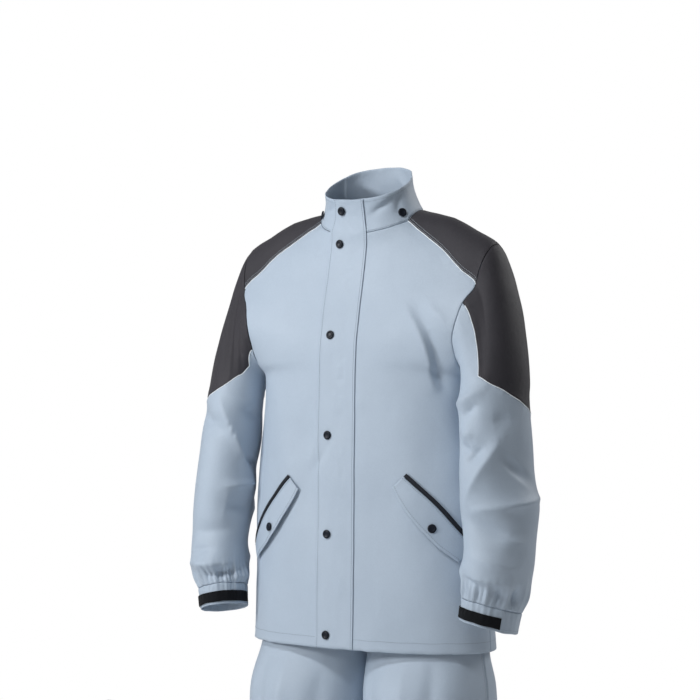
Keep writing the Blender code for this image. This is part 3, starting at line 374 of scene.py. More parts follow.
def sleeveGrid(loop, side):
    table = sleeve["rows"]
    lowerEdge = sleeve["lowerEdge"][side]
    rings = smoothRows(table, (sleeve["ringSteps"],) * (len(table) - 1))
    count = len(loop)
    top = sleeve["topRows"] * fineRows
    low = sleeve["lowRows"] * fineRows
    columns = []
    for j, start in enumerate(loop):
        angle = math.pi + 2 * math.pi * j / count
        height = (1 + math.cos(angle)) / 2
        ringAngle = angle + twistAt(side, angle)
        column = j / fineRows
        run = foldSleeve(ringPoints(rings, ringAngle), rings, ringAngle, column, side)
        leave = np.array(sleeve["capLeaves"]) * (1.0, math.sin(angle), 1.0)
        leave = unit(leave + np.array(sleeve["capTopAdds"]) * height)
        leave = leave * (sleeve["capPull"] - sleeve["capEase"] * height)
        arrive = unit(run[1] - run[0])
        span = np.linalg.norm(run[0] - start)
        steps = [k / sleeve["capPoints"] for k in range(sleeve["capPoints"])]
        cap = [hermite(start, leave * span, run[0], arrive * span, s) for s in steps]
        curve = np.array(cap + list(run))
        edge = np.interp(column, list(lowerEdge), list(lowerEdge.values()))
        lengths = runOf(curve)
        under = int(np.argmax(curve[:, 2] < edge))
        part = (curve[under - 1, 2] - edge) / (curve[under - 1, 2] - curve[under, 2])
        atEdge = lengths[under - 1] + part * (lengths[under] - lengths[under - 1])
        stops = np.concatenate((np.linspace(0.0, atEdge, top + 1), np.linspace(atEdge, lengths[-1], low + 1)[1:]))
        points = pointsAlong(curve, stops)
        points[0] = start
        columns.append(points)
    return np.array(columns).transpose(1, 0, 2)


def cuffGrid(top, side):
    count = len(top)
    rows = 2 * fineRows
    low = []
    for j in range(count):
        angle = math.pi + 2 * math.pi * j / count
        low.append(ringPoints(sleeve["cuffEnd"], angle + twistAt(side, angle))[0])
    low = np.array(low)
    return np.array([top + (low - top) * k / rows for k in range(rows + 1)])


# Stand collar
collar = {
    "tops": (0.018, 0.080),  # height of the top edge at the front and at the back
    "rows": 3,
    "leanIn": 0.16,
    "hollow": 0.004,
    "leanFront": 0.004,
    "leanBack": 0.020,
    "neckDepth": (-0.058, 0.076),
    "radius": 0.075,
    "foldsGrow": 0.25,  # share of the height over which a crease grows from the seam
    "folds": (
        (34, -0.006, 60, 0.014, 0.007, -0.0055, 1.4),
        (38, 0.008, 60, 0.026, 0.006, 0.0035, 1.2),
        (66, -0.004, 74, 0.030, 0.007, -0.0040, 1.5),
        (-60, -0.004, -34, 0.010, 0.007, -0.0045, 1.4),
        (130, 0.020, 160, 0.060, 0.009, -0.0035, 1.6),
        (-170, 0.030, -135, 0.050, 0.009, -0.0035, 1.6),
    ),
}


def collarGrid(loop):
    rows = collar["rows"] * fineRows
    back = fadeOver(loop[:, 1], *collar["neckDepth"])
    height = collar["tops"][0] + (collar["tops"][1] - collar["tops"][0]) * back - loop[:, 2]
    forward = collar["leanBack"] * back + collar["leanFront"] * (1 - back)
    out = unit(loop * np.array((1.0, 1.0, 0.0)))
    grid = []
    for r in range(rows + 1):
        rise = r / rows
        lean = np.stack((-collar["leanIn"] * loop[:, 0] * rise, -forward * rise, height * rise), axis=-1)
        line = loop + lean - out * collar["hollow"] * math.sin(math.pi * rise)
        angle = np.degrees(np.arctan2(line[:, 0], -line[:, 1]))
        depth = foldDepth(collar["folds"], collar["radius"], angle, line[:, 2])
        depth *= min(1.0, rise / collar["foldsGrow"])
        grid.append(line + out * depth[:, None])
    return np.array(grid)


# Trousers: a row of a leg's panel runs from the side seam to the centre or inner seam
leg = {
    "fields": ("sideX", "sideY", "sideZ", "ahead", "endX", "endY", "endZ", "inX", "inY"),
    "frontRows": {
        "waist": (0.172, 0.010, -0.440, 0.055, 0.000, -0.072, -0.440, 0.105, 0.000),
        "hip": (0.190, 0.010, -0.560, 0.055, 0.000, -0.074, -0.560, 0.118, 0.000),
        "seat": (0.205, 0.010, -0.660, 0.062, 0.000, -0.074, -0.660, 0.120, 0.000),
        "forkStart": (0.212, 0.008, -0.715, 0.085, 0.000, -0.045, -0.722, 0.060, -0.055),
        "fork": (0.218, 0.006, -0.755, 0.108, 0.003, 0.005, -0.752, 0.000, -0.108),
        "underFork": (0.226, 0.003, -0.800, 0.135, 0.004, 0.003, -0.800, 0.000, -0.135),
        "thigh": (0.228, 0.000, -0.900, 0.142, 0.012, 0.000, -0.900, 0.000, -0.142),
        "knee": (0.226, -0.004, -1.050, 0.133, 0.028, -0.004, -1.050, 0.000, -0.133),
        "calf": (0.224, 0.000, -1.250, 0.127, 0.042, 0.000, -1.250, 0.000, -0.127),
        "legHem": (0.220, 0.004, -1.460, 0.120, 0.050, 0.004, -1.460, 0.000, -0.120),
    },
    "backRows": {
        "waist": (0.172, 0.010, -0.440, 0.060, 0.000, 0.095, -0.440, 0.105, 0.000),
        "hip": (0.190, 0.010, -0.560, 0.062, 0.000, 0.102, -0.560, 0.118, 0.000),
        "seat": (0.205, 0.010, -0.660, 0.066, 0.000, 0.106, -0.660, 0.120, 0.000),
        "forkStart": (0.212, 0.008, -0.715, 0.095, 0.000, 0.070, -0.722, 0.060, 0.050),
        "fork": (0.218, 0.006, -0.755, 0.120, 0.003, 0.005, -0.752, 0.000, 0.120),
        "underFork": (0.226, 0.003, -0.800, 0.140, 0.004, 0.003, -0.800, 0.000, 0.140),
        "thigh": (0.228, 0.000, -0.900, 0.142, 0.012, 0.000, -0.900, 0.000, 0.142),
        "knee": (0.226, -0.004, -1.050, 0.133, 0.028, -0.004, -1.050, 0.000, 0.133),
        "calf": (0.224, 0.000, -1.250, 0.133, 0.042, 0.000, -1.250, 0.000, 0.133),
        "legHem": (0.220, 0.004, -1.460, 0.122, 0.050, 0.004, -1.460, 0.000, 0.122),
    },
    "steps": (2, 2, 2, 1, 1, 2, 2, 3, 3),
    "columns": 8,
    "bandHeight": 0.040,
    "axisX": 0.118,
    "radius": 0.105,
    "foldsFade": (-0.742, -0.772),
    "forkFade": (-0.60, -0.75),
    "folds": (
        (0, -0.765, 6, -1.000, 0.016, 0.0070, 1.3),
        (34, -0.765, 24, -0.950, 0.016, -0.0070, 1.7),
        (-40, -0.790, -20, -0.980, 0.016, -0.0063, 1.7),
        (-60, -1.030, 40, -1.060, 0.016, -0.0063, 1.7),
        (-50, -1.100, 50, -1.085, 0.017, 0.0063, 1.3),
        (125, -1.030, 215, -1.060, 0.018, -0.0084, 1.7),
        (120, -1.090, 200, -1.110, 0.017, 0.0070, 1.3),
        (180, -0.790, 175, -0.960, 0.020, 0.0070, 1.7),
        (-70, -1.385, 60, -1.375, 0.016, -0.0063, 1.7),
        (-80, -1.425, 70, -1.415, 0.016, 0.0070, 1.3),
        (120, -1.400, 210, -1.390, 0.017, 0.0070, 1.3),
    ),
}


def legGrid(table):
    grid = []
    for row in smoothRows(table, [n * fineRows for n in leg["steps"]], slice(0, 3)):
        values = dict(zip(leg["fields"], row))
        side = np.array((values["sideX"], values["sideY"], values["sideZ"]))
        end = np.array((max(0.0, values["endX"]), values["endY"], values["endZ"]))
        inward = np.array((values["inX"], values["inY"], 0.0))
        forward = np.array((0.0, math.copysign(values["ahead"], end[1] + inward[1] - side[1]), 0.0))
        grid.append(evenly(bezier(side, side + forward, end + inward, end), leg["columns"] * fineColumns))
    grid = np.array(grid)
    out = grid * np.array((1.0, 1.0, 0.0)) - np.array((leg["axisX"], 0.0, 0.0))
    angle = np.degrees(np.arctan2(out[..., 0], -out[..., 1]))
    depth = foldDepth(leg["folds"], leg["radius"], angle, grid[..., 2])
    depth = depth * fadeOver(grid[..., 2], *leg["foldsFade"])
    grid = grid + unit(out) * depth[..., None]
    grid[..., 0] = np.maximum(0.0, grid[..., 0])
    return grid


# Panels: a grid of points, the cells that belong to it, and its outward side

def cellsOf(rows, columns, wrap=False, keep=None):
    r, c = np.meshgrid(np.arange(rows - 1), np.arange(columns if wrap else columns - 1), indexing="ij")
    if keep is not None:
        belongs = keep(r, c)
        r, c = r[belongs], c[belongs]
    r, c = r.ravel(), c.ravel()
    after = (c + 1) % columns
    return np.stack((r * columns + c, r * columns + after, (r + 1) * columns + after, (r + 1) * columns + c), axis=-1)


def panel(name, grid, finish, inside, wrap=False, keep=None, **more):
    points = grid.reshape(-1, 3).copy()
    quads = cellsOf(*grid.shape[:2], wrap, keep)
    a, b, c, d = (points[quads[:, k]] for k in range(4))
    middle = (a + b + c + d) / 4
    if np.sum(np.cross(c - a, d - b) * (middle - inside(middle))) < 0:
        quads = quads[:, ::-1]
    return {"name": name, "points": points, "quads": quads, "finish": finish, "shape": grid.shape[:2],
            "wrap": wrap, **more}


def setNormals(panels):
    points = np.concatenate([p["points"] for p in panels])
    _, spots = np.unique(np.round(points * 2e5).astype(np.int64), axis=0, return_inverse=True)
    spots = spots.ravel()
    starts = np.cumsum([0] + [len(p["points"]) for p in panels])
    joined = np.zeros((spots.max() + 1, 3))
    for surface in sorted({p.get("surface", p["name"]) for p in panels}):
        own = np.zeros_like(joined)
        for p, start in zip(panels, starts):
            if p.get("surface", p["name"]) != surface:
                continue
            a, b, c, d = (p["points"][p["quads"][:, k]] for k in range(4))
            facing = np.cross(c - a, d - b)
            for k in range(4):
                np.add.at(own, spots[start + p["quads"][:, k]], facing)
        joined += unit(own)
    joined = unit(joined)
    for p, start in zip(panels, starts):
        p["normals"] = joined[spots[start:start + len(p["points"])]]


def rimOf(quads, count):
    a = quads.ravel()
    b = np.roll(quads, -1, axis=1).ravel()
    free = ~np.isin(a * count + b, b * count + a)
    return a[free], b[free]


def setSeamDistance(p):
    a, _ = rimOf(p["quads"], len(p["points"]))
    rim = np.unique(a)
    tree = kdtree.KDTree(len(rim))
    for k, i in enumerate(rim):
        tree.insert(p["points"][i], k)
    tree.balance()
    p["seam"] = np.array([tree.find(point)[2] for point in p["points"]])


def relax(panels):
    # the cloth's own slight waves, and the pucker beside its seams
    pucker, wander = cloth["pucker"], cloth["wander"]
    for p in panels:
        moved = np.zeros(len(p["points"]))
        for fine, deep in cloth["waves"]:
            moved += [deep * noise.noise(Vector(q) * fine) for q in p["points"]]
        near = np.exp(-(p["seam"] / pucker["wide"])**2)
        moved += near * [pucker["deep"] * noise.noise(Vector(q) * pucker["fine"]) for q in p["points"]]
        strayed = np.array([noise.noise_vector(Vector(q) * wander["fine"]) for q in p["points"]])
        strayed -= p["normals"] * np.sum(strayed * p["normals"], axis=1, keepdims=True)
        strayed *= wander["far"] * np.exp(-(p["seam"] / wander["wide"])**2)[:, None]
        p["points"] = p["points"] + p["normals"] * moved[:, None] + strayed


def gridOf(p, what="points"):
    return p[what].reshape(*p["shape"], -1)


def sew(p, shift=0.0):
    # a closed wall round the panel, its edge rolled over and drawn in by half the seam
    points, quads, normals = p["points"], p["quads"], p["normals"]
    wall = p.get("wall", cloth["wall"])
    gap = p.get("gap", cloth["seamGap"] / 2)
    a, b = rimOf(quads, len(points))
    along = unit(points[b] - points[a])
    inward = np.zeros_like(points)
    for ends in (a, b):
        np.add.at(inward, ends, unit(np.cross(normals[ends], along)))
    inward = unit(inward)
    used = np.unique(quads)
    place = np.full(len(points), -1)
    place[used] = np.arange(len(used))
    onRim = np.zeros(len(points), bool)
    onRim[a] = True
    rim = used[onRim[used]]
    rimPlace = np.full(len(points), -1)
    rimPlace[rim] = 2 * len(used) + np.arange(len(rim))
    base = points[used] + normals[used] * shift
    seat = inward[used] * (gap + wall * 0.45) * onRim[used][:, None]
    outer = base + seat + normals[used] * wall / 2
    inner = base + seat - normals[used] * wall / 2
    edge = points[rim] + normals[rim] * shift + inward[rim] * gap
    verts = np.concatenate((outer, inner, edge))
    count = len(used)
    faces = [place[quads], place[quads][:, ::-1] + count]
    faces.append(np.stack((place[b], place[a], rimPlace[a], rimPlace[b]), axis=-1))
    faces.append(np.stack((rimPlace[b], rimPlace[a], place[a] + count, place[b] + count), axis=-1))
    mesh = bpy.data.meshes.new(p["name"])
    mesh.from_pydata(verts.tolist(), [], np.concatenate(faces).tolist())
    mesh.materials.append(finishes[p["finish"]])
    mesh.shade_smooth()
    addMaps(mesh, p, used, rim)
    made = bpy.data.objects.new(p["name"], mesh)
    bpy.context.scene.collection.objects.link(made)
    return made


def addMaps(mesh, p, used, rim):
    # a map in metres for the weave, and the distance from the seam
    grid = gridOf(p)
    across = np.concatenate((np.zeros((p["shape"][0], 1)), np.cumsum(np.linalg.norm(np.diff(grid, axis=1), axis=2), axis=1)), axis=1)
    down = np.concatenate((np.zeros((1, p["shape"][1])), np.cumsum(np.linalg.norm(np.diff(grid, axis=0), axis=2), axis=0)))
    flat = np.stack((across.ravel(), down.ravel()), axis=-1)
    flat = np.concatenate((flat[used], flat[used], flat[rim]))
    corner = np.zeros(len(mesh.loops), np.int32)
    mesh.loops.foreach_get("vertex_index", corner)
    layer = mesh.uv_layers.new(name="cut")
    layer.data.foreach_set("uv", flat[corner].ravel())
    seam = mesh.attributes.new("seam", "FLOAT", "POINT")
    distance = np.concatenate((p["seam"][used], p["seam"][used], p["seam"][rim]))
    seam.data.foreach_set("value", distance)


# Finishes
colours = {
    "shell": {"light": (0.465, 0.555, 0.665), "shade": (0.400, 0.487, 0.595), "rough": 0.50},
    "charcoal": {"light": (0.036, 0.034, 0.043), "shade": (0.022, 0.021, 0.028), "rough": 0.60},
    "binding": {"light": (0.008, 0.011, 0.019), "shade": (0.004, 0.006, 0.011), "rough": 0.68},
    "webbing": {"light": (0.006, 0.007, 0.010), "shade": (0.002, 0.003, 0.004), "rough": 0.88},
    "piping": {"light": (0.86, 0.91, 0.95), "shade": (0.74, 0.81, 0.87), "rough": 0.45},
    "thread": {"light": (0.40, 0.45, 0.50), "shade": (0.28, 0.33, 0.38), "rough": 0.60},
    "shellThread": {"light": (0.30, 0.37, 0.45), "shade": (0.20, 0.26, 0.33), "rough": 0.60},
    "darkThread": {"light": (0.10, 0.10, 0.12), "shade": (0.05, 0.05, 0.07), "rough": 0.60},
    "snap": {"light": (0.006, 0.010, 0.020), "shade": (0.002, 0.004, 0.010), "rough": 0.42},
}
finishes = {}


def addNode(tree, kind, inputs=None, **settings):
    node = tree.nodes.new(kind)
    for name, value in settings.items():
        setattr(node, name, value)
    for socket, value in (inputs or {}).items():
        if isinstance(value, bpy.types.NodeSocket):
            tree.links.new(value, node.inputs[socket])
        else:
            node.inputs[socket].default_value = value
    return node


def maths(tree, operation, a, b=0.5):
    return addNode(tree, "ShaderNodeMath", {0: a, 1: b}, operation=operation).outputs[0]


def startGroup(name, inputs, outputs):
    group = bpy.data.node_groups.new(name, "ShaderNodeTree")
    for label, kind in inputs:
        group.interface.new_socket(label, in_out="INPUT", socket_type="NodeSocket" + kind)
    for label, kind in outputs:
        group.interface.new_socket(label, in_out="OUTPUT", socket_type="NodeSocket" + kind)
    return group, group.nodes.new("NodeGroupInput").outputs, group.nodes.new("NodeGroupOutput").inputs


def makeClothGroup():
    # weave from the cut's own map, crinkle and tone in space, the pucker of a seam, and painted shade that darkens
    # the cloth along its seams and edges
    group, given, out = startGroup(
        "coatedCloth",
        (("Light", "Color"), ("Shade", "Color"), ("Roughness", "Float"), ("Threads", "Float"),
         ("Weave", "Float"), ("Crinkle", "Float"), ("Pucker", "Float")),
        (("Colour", "Color"), ("Roughness", "Float"), ("Height", "Float")))
    place = addNode(group, "ShaderNodeTexCoord").outputs["Object"]
    cut = addNode(group, "ShaderNodeUVMap", uv_map="cut").outputs["UV"]
    split = addNode(group, "ShaderNodeSeparateXYZ", {0: cut}).outputs
    turn = maths(group, "MULTIPLY", given["Threads"], 2 * math.pi)
    over = maths(group, "SINE", maths(group, "MULTIPLY", split[0], turn))
    under = maths(group, "SINE", maths(group, "MULTIPLY", split[1], turn))
    weave = maths(group, "MULTIPLY", maths(group, "MULTIPLY", over, under), given["Weave"])
    seam = addNode(group, "ShaderNodeAttribute", attribute_name="seam").outputs["Fac"]
    nearSeam = addNode(group, "ShaderNodeMapRange", {0: seam, 1: 0.0, 2: 0.012, 3: 1.0, 4: 0.0}).outputs[0]
    # edge: mask for the painted seam shade, 1 on the seam and 0 from 2.2 mm in
    edge = addNode(group, "ShaderNodeMapRange", {0: seam, 1: 0.0, 2: 0.0022, 3: 1.0, 4: 0.0}).outputs[0]
    tone = addNode(group, "ShaderNodeTexNoise", {"Vector": place, "Scale": 9.0, "Detail": 3.0}).outputs["Fac"]
    mottle = addNode(group, "ShaderNodeTexNoise", {"Vector": place, "Scale": 420.0, "Detail": 2.0}).outputs["Fac"]
    wide = addNode(group, "ShaderNodeTexNoise", {"Vector": place, "Scale": 46.0, "Detail": 3.0, "Distortion": 0.6})
    fine = addNode(group, "ShaderNodeTexNoise", {"Vector": place, "Scale": 170.0, "Detail": 2.0}).outputs["Fac"]
    crinkle = maths(group, "ADD", wide.outputs["Fac"], maths(group, "MULTIPLY", fine, 0.25))
    crinkle = maths(group, "MULTIPLY", crinkle, given["Crinkle"])
    ripple = addNode(group, "ShaderNodeTexNoise", {"Vector": place, "Scale": 130.0, "Detail": 1.0}).outputs["Fac"]
    ripple = maths(group, "MULTIPLY", maths(group, "MULTIPLY", ripple, nearSeam), given["Pucker"])
    height = maths(group, "ADD", maths(group, "ADD", weave, crinkle), ripple)
    patch = maths(group, "ADD", maths(group, "MULTIPLY", tone, 0.6), maths(group, "MULTIPLY", mottle, 0.4))
    patch = addNode(group, "ShaderNodeMapRange", {0: patch, 1: 0.35, 2: 0.65, 3: 0.0, 4: 0.55}).outputs[0]
    mixed = addNode(group, "ShaderNodeMix", {0: patch, 6: given["Light"], 7: given["Shade"]}, data_type="RGBA")
    # painted shade: near a seam or edge the colour is drawn towards the Shade tone, standing in for the shade in the
    # seam
    seamShadeShare = maths(group, "MULTIPLY", edge, 0.55)
    seamShaded = addNode(group, "ShaderNodeMix", {0: seamShadeShare, 6: mixed.outputs[2], 7: given["Shade"]}, data_type="RGBA")
    rough = maths(group, "ADD", given["Roughness"], maths(group, "MULTIPLY", maths(group, "SUBTRACT", tone), 0.12))
    group.links.new(seamShaded.outputs[2], out["Colour"])
    group.links.new(rough, out["Roughness"])
    group.links.new(height, out["Height"])
    return group


def makeMaterial(name, group, values, shader):
    made = bpy.data.materials.new(name)
    made.use_nodes = True
    tree = made.node_tree
    main = tree.nodes["Principled BSDF"]
    effect = addNode(tree, "ShaderNodeGroup")
    effect.node_tree = group
    colour = colours[name]
    effect.inputs["Light"].default_value = (*colour["light"], 1.0)
    effect.inputs["Shade"].default_value = (*colour["shade"], 1.0)
    effect.inputs["Roughness"].default_value = colour["rough"]
    for socket, value in values.items():
        effect.inputs[socket].default_value = value
    tree.links.new(effect.outputs["Colour"], main.inputs["Base Color"])
    tree.links.new(effect.outputs["Roughness"], main.inputs["Roughness"])
    bump = addNode(tree, "ShaderNodeBump", {"Strength": 0.8, "Distance": 1.0, "Height": effect.outputs["Height"]})
    tree.links.new(bump.outputs["Normal"], main.inputs["Normal"])
    for socket, value in shader.items():
        main.inputs[socket].default_value = value
    finishes[name] = made
    return made


def makeSolidGroup():
    # a moulded or twisted surface with no map of its own: thread, enamel
    group, given, out = startGroup(
        "fineGrain",
        (("Light", "Color"), ("Shade", "Color"), ("Roughness", "Float"), ("Grain", "Float"), ("Depth", "Float")),
        (("Colour", "Color"), ("Roughness", "Float"), ("Height", "Float")))
    place = addNode(group, "ShaderNodeTexCoord").outputs["Object"]
    grain = addNode(group, "ShaderNodeTexNoise", {"Vector": place, "Scale": given["Grain"], "Detail": 2.0}).outputs["Fac"]
    mixed = addNode(group, "ShaderNodeMix", {0: grain, 6: given["Light"], 7: given["Shade"]}, data_type="RGBA")
    rough = maths(group, "ADD", given["Roughness"], maths(group, "MULTIPLY", maths(group, "SUBTRACT", grain), 0.2))
    group.links.new(mixed.outputs[2], out["Colour"])
    group.links.new(rough, out["Roughness"])
    group.links.new(maths(group, "MULTIPLY", grain, given["Depth"]), out["Height"])
    return group


clothGroup = makeClothGroup()
solidGroup = makeSolidGroup()
makeMaterial("shell", clothGroup, {"Threads": 1400, "Weave": 0.00004, "Crinkle": 0.0007, "Pucker": 0.0008},
             {"Sheen Weight": 0.12, "Sheen Roughness": 0.45, "Specular IOR Level": 0.42})
makeMaterial("charcoal", clothGroup, {"Threads": 1100, "Weave": 0.00006, "Crinkle": 0.0007, "Pucker": 0.0008},
             {"Sheen Weight": 0.10, "Sheen Roughness": 0.5, "Specular IOR Level": 0.35})
makeMaterial("binding", clothGroup, {"Threads": 600, "Weave": 0.00012, "Crinkle": 0.0003, "Pucker": 0.0004},
             {"Specular IOR Level": 0.35})
makeMaterial("webbing", clothGroup, {"Threads": 420, "Weave": 0.00025, "Crinkle": 0.0006, "Pucker": 0.0004},
             {"Sheen Weight": 0.03, "Specular IOR Level": 0.2})
makeMaterial("piping", solidGroup, {"Grain": 1200, "Depth": 0.00005}, {"Sheen Weight": 0.1})
makeMaterial("thread", solidGroup, {"Grain": 2500, "Depth": 0.00012}, {"Sheen Weight": 0.2})
makeMaterial("shellThread", solidGroup, {"Grain": 2500, "Depth": 0.00012}, {"Sheen Weight": 0.1})
makeMaterial("darkThread", solidGroup, {"Grain": 2500, "Depth": 0.00012}, {"Sheen Weight": 0.1})
makeMaterial("snap", solidGroup, {"Grain": 900, "Depth": 0.00002}, {"Specular IOR Level": 0.25, "Coat Weight": 0.05})
print("finishes made:", len(finishes))


# Press snaps: domed caps with a sunk centre, as shares of the cap's radius and height
snap = {
    "radius": 0.0075,
    "height": 0.0026,
    "sides": 40,
    "profile": ((0.00, 0.66), (0.34, 0.68), (0.46, 0.74), (0.56, 0.90), (0.68, 1.00), (0.80, 0.97),
                (0.91, 0.80), (0.98, 0.48), (1.00, 0.22), (0.97, 0.00)),
}


def makeSnap(node):
    spots = np.array([v.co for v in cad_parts[node].data.vertices])
    centre = spots.mean(axis=0)
    normal = np.linalg.svd(spots - centre)[2][2]
    normal = normal * math.copysign(1.0, float(np.dot(normal, centre * (1.0, 1.0, 0.0))))
    seat = centre + normal * float(np.min((spots - centre) @ normal))
    across = unit(np.cross(normal, (0.0, 0.0, 1.0)))
    up = np.cross(normal, across)
    verts = [seat + normal * snap["height"] * snap["profile"][0][1]]
    for size, height in snap["profile"][1:]:
        for k in range(snap["sides"]):
            angle = 2 * math.pi * k / snap["sides"]
            spread = (across * math.cos(angle) + up * math.sin(angle)) * snap["radius"] * size
            verts.append(seat + spread + normal * snap["height"] * height)
    faces = [(0, 1 + k, 1 + (k + 1) % snap["sides"]) for k in range(snap["sides"])]
    rings = len(snap["profile"]) - 1
    for ring in range(rings - 1):
        for k in range(snap["sides"]):
            a = 1 + ring * snap["sides"]
            b = a + snap["sides"]
            after = (k + 1) % snap["sides"]
            faces.append((a + k, b + k, b + after, a + after))
    last = 1 + (rings - 1) * snap["sides"]
    faces.append(tuple(last + k for k in range(snap["sides"]))[::-1])
    made = meshPiece(node + "_cap", verts, faces, "snap")
    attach(made, "root")
    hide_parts(node)


def meshPiece(name, verts, faces, finish):
    mesh = bpy.data.meshes.new(name)
    mesh.from_pydata([tuple(map(float, v)) for v in verts], [], faces)
    mesh.materials.append(finishes[finish])
    mesh.shade_smooth()
    mesh.set_sharp_from_angle(angle=cloth["sharpAngle"])
    made = bpy.data.objects.new(name, mesh)
    bpy.context.scene.collection.objects.link(made)
    return made


# Topstitching: short raised stitches that sink into the cloth at both ends
stitch = {"pitch": 0.0036, "length": 0.0027, "wide": 0.00038, "high": 0.00034, "sides": 6}
seams = {}


def edgeLine(p, edge, inset, lift=None, keep=slice(None)):
    # the line that runs at this distance in from one edge of a panel's grid, with its normals
    grid, normals = gridOf(p), gridOf(p, "normals")
    if edge in ("first", "last"):
        grid, normals = grid[keep], normals[keep]
    else:
        grid, normals = grid.transpose(1, 0, 2)[keep], normals.transpose(1, 0, 2)[keep]
    if edge in ("last", "bottom"):
        grid, normals = grid[:, ::-1], normals[:, ::-1]
    points, out = [], []
    for line, facing in zip(grid, normals):
        run = runOf(line)
        points.append([np.interp(inset, run, line[:, k]) for k in range(3)])
        out.append([np.interp(inset, run, facing[:, k]) for k in range(3)])
    out = unit(np.array(out))
    lift = p.get("wall", cloth["wall"]) / 2 if lift is None else lift
    return np.array(points) + out * (lift + p.get("shift", 0.0)), out


def sewLine(group, line, normals):
    run = runOf(line)
    count = max(1, int(run[-1] / stitch["pitch"]))
    gap = (run[-1] - count * stitch["length"]) / count
    for k in range(count):
        start = (k + 0.5) * gap + k * stitch["length"]
        stops = start + stitch["length"] * np.array((0.0, 0.18, 0.5, 0.82, 1.0))
        spine = pointsAlong(line, stops)
        out = unit(pointsAlong(np.concatenate((line, normals), axis=1), stops)[:, 3:])
        seams.setdefault(group, []).append((spine, out))


def makeSeams(name, finish):
    rise = np.array((-0.35, 0.55, 0.80, 0.55, -0.35)) * stitch["high"]
    size = np.array((0.45, 0.90, 1.0, 0.90, 0.45))
    verts, faces = [], []
    for spine, out in seams[name]:
        along = unit(spine[-1] - spine[0])
        across = unit(np.cross(out, along))
        base = len(verts)
        for k in range(len(spine)):
            for s in range(stitch["sides"]):
                angle = 2 * math.pi * s / stitch["sides"]
                side = across[k] * math.cos(angle) * stitch["wide"] * size[k]
                top = out[k] * (math.sin(angle) * stitch["high"] * size[k] + rise[k])
                verts.append(spine[k] + side + top)
        for k in range(len(spine) - 1):
            for s in range(stitch["sides"]):
                after = (s + 1) % stitch["sides"]
                a, b = base + k * stitch["sides"], base + (k + 1) * stitch["sides"]
                faces.append((a + s, b + s, b + after, a + after))
        faces.append(tuple(base + s for s in range(stitch["sides"])))
        faces.append(tuple(len(verts) - 1 - s for s in range(stitch["sides"])))
    made = meshPiece(name, verts, faces, finish)
    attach(made, "root")
    print("stitches in", name + ":", len(seams[name]))


# Storm flap, measured from the centre front
flap = {
    "sewnEdge": 0.029,
    "freeEdge": 0.049,
    "drawnIn": 0.001,
    "wall": 0.0016,
    "lieGap": 0.0003,
    "lifts": 0.0008,
    "snapHeights": (-0.058, -0.212, -0.381, -0.548, -0.718),
}

# Slanted pockets: upper and lower end as distance round from the centre front and height
pocket = {
    "ends": {"l": ((0.120, -0.447), (0.236, -0.566)), "r": ((0.104, -0.455), (0.226, -0.577))},
    "bow": 0.005,
    "stripWidth": 0.007,
    "depths": {0.0: 0.027, 0.14: 0.036, 0.3: 0.042, 0.535: 0.045, 0.74: 0.044, 1.0: 0.033},
    "stands": 0.005,
    "endStands": 0.4,
    "lieGap": 0.0014,
    "solidWall": 0.002,
    "steps": 56,
    "rows": 10,
    "normalStep": 0.006,
}

# Cuff strap: arc round the cuff and its height
strap = {"from": 150, "to": 332, "top": 0.36, "low": 0.88, "wall": 0.0016, "lieGap": 0.0005}


def insideBody(q):
    return np.stack((0 * q[:, 0], 0 * q[:, 0] + body["axisY"], np.minimum(q[:, 2], body["topInside"])), axis=-1)


def makeJacket():
    underarm = sum(body["steps"][:5]) * fineRows
    tip = underarm + body["armholeRows"] * fineRows
    half = bodyGrid(body["backRows"])
    plain = {"l": bodyGrid(body["frontRows"], flap["sewnEdge"]), "r": bodyGrid(body["frontRows"], flap["freeEdge"])}
    for side in plain:
        plain[side][:underarm + 1, -1] = half[:underarm + 1, -1]
    front = {"l": foldBody(plain["l"]), "r": foldBody(mirrored(plain["r"]))}
    backs = {"l": foldBody(half), "r": foldBody(mirrored(half))}
    back = np.concatenate((backs["r"][:, ::-1], backs["l"][:, 1:]), axis=1)
    panels = {
        "front_left": panel("front_left", front["l"], "shell", insideBody, surface="body"),
        "front_right": panel("front_right", front["r"], "shell", insideBody, surface="body"),
        "back": panel("back", back, "shell", insideBody, surface="body"),
    }
    necks = {}
    for side, word in (("l", "left"), ("r", "right")):
        arch = yokeGrid(plain[side], half, tip)
        arch = arch if side == "l" else mirrored(arch)
        arch[:, 0] = front[side][tip:, -1]
        arch[:, -1] = backs[side][tip:, -1]
        panels["yoke_" + word] = panel("yoke_" + word, arch, "charcoal", insideBody, surface="body")
        loop = np.concatenate((front[side][underarm:tip, -1], arch[0], backs[side][tip - 1:underarm:-1, -1]))
        arm = sleeveGrid(loop if side == "l" else mirrored(loop), side)
        cuff = cuffGrid(arm[-1], side)
        if side == "r":
            arm, cuff = mirrored(arm), mirrored(cuff)
        arm[0] = loop
        first, last = (n * fineRows for n in sleeve["panelColumns"][side])
        edge = sleeve["topRows"] * fineRows
        inPanel = lambda r, c, a=first, b=last: (r < edge) & (c >= a) & (c < b)
        below = lambda r, c, f=inPanel: ~f(r, c)
        middles = np.concatenate((arm.mean(axis=1), cuff.mean(axis=1)))
        centre = lambda q, m=middles: m[np.argmin(abs(m[None, :, 2] - q[:, None, 2]), axis=1)]
        about = {"wrap": True, "surface": "arm_" + word}
        panels["sleeve_" + word] = panel("sleeve_" + word, arm, "shell", centre, keep=below, **about)
        panels["sleeve_panel_" + word] = panel("sleeve_panel_" + word, arm, "charcoal", centre, keep=inPanel, **about)
        panels["cuff_" + word] = panel("cuff_" + word, cuff, "shell", centre, **about)
        necks[side] = arch[-1]
    neck = np.concatenate((front["l"][-1], necks["l"][1:], back[-1][::-1][1:], necks["r"][::-1][1:],
                           front["r"][-1][::-1][1:]))
    panels["collar"] = panel("collar", collarGrid(neck), "shell", insideBody)
    return panels


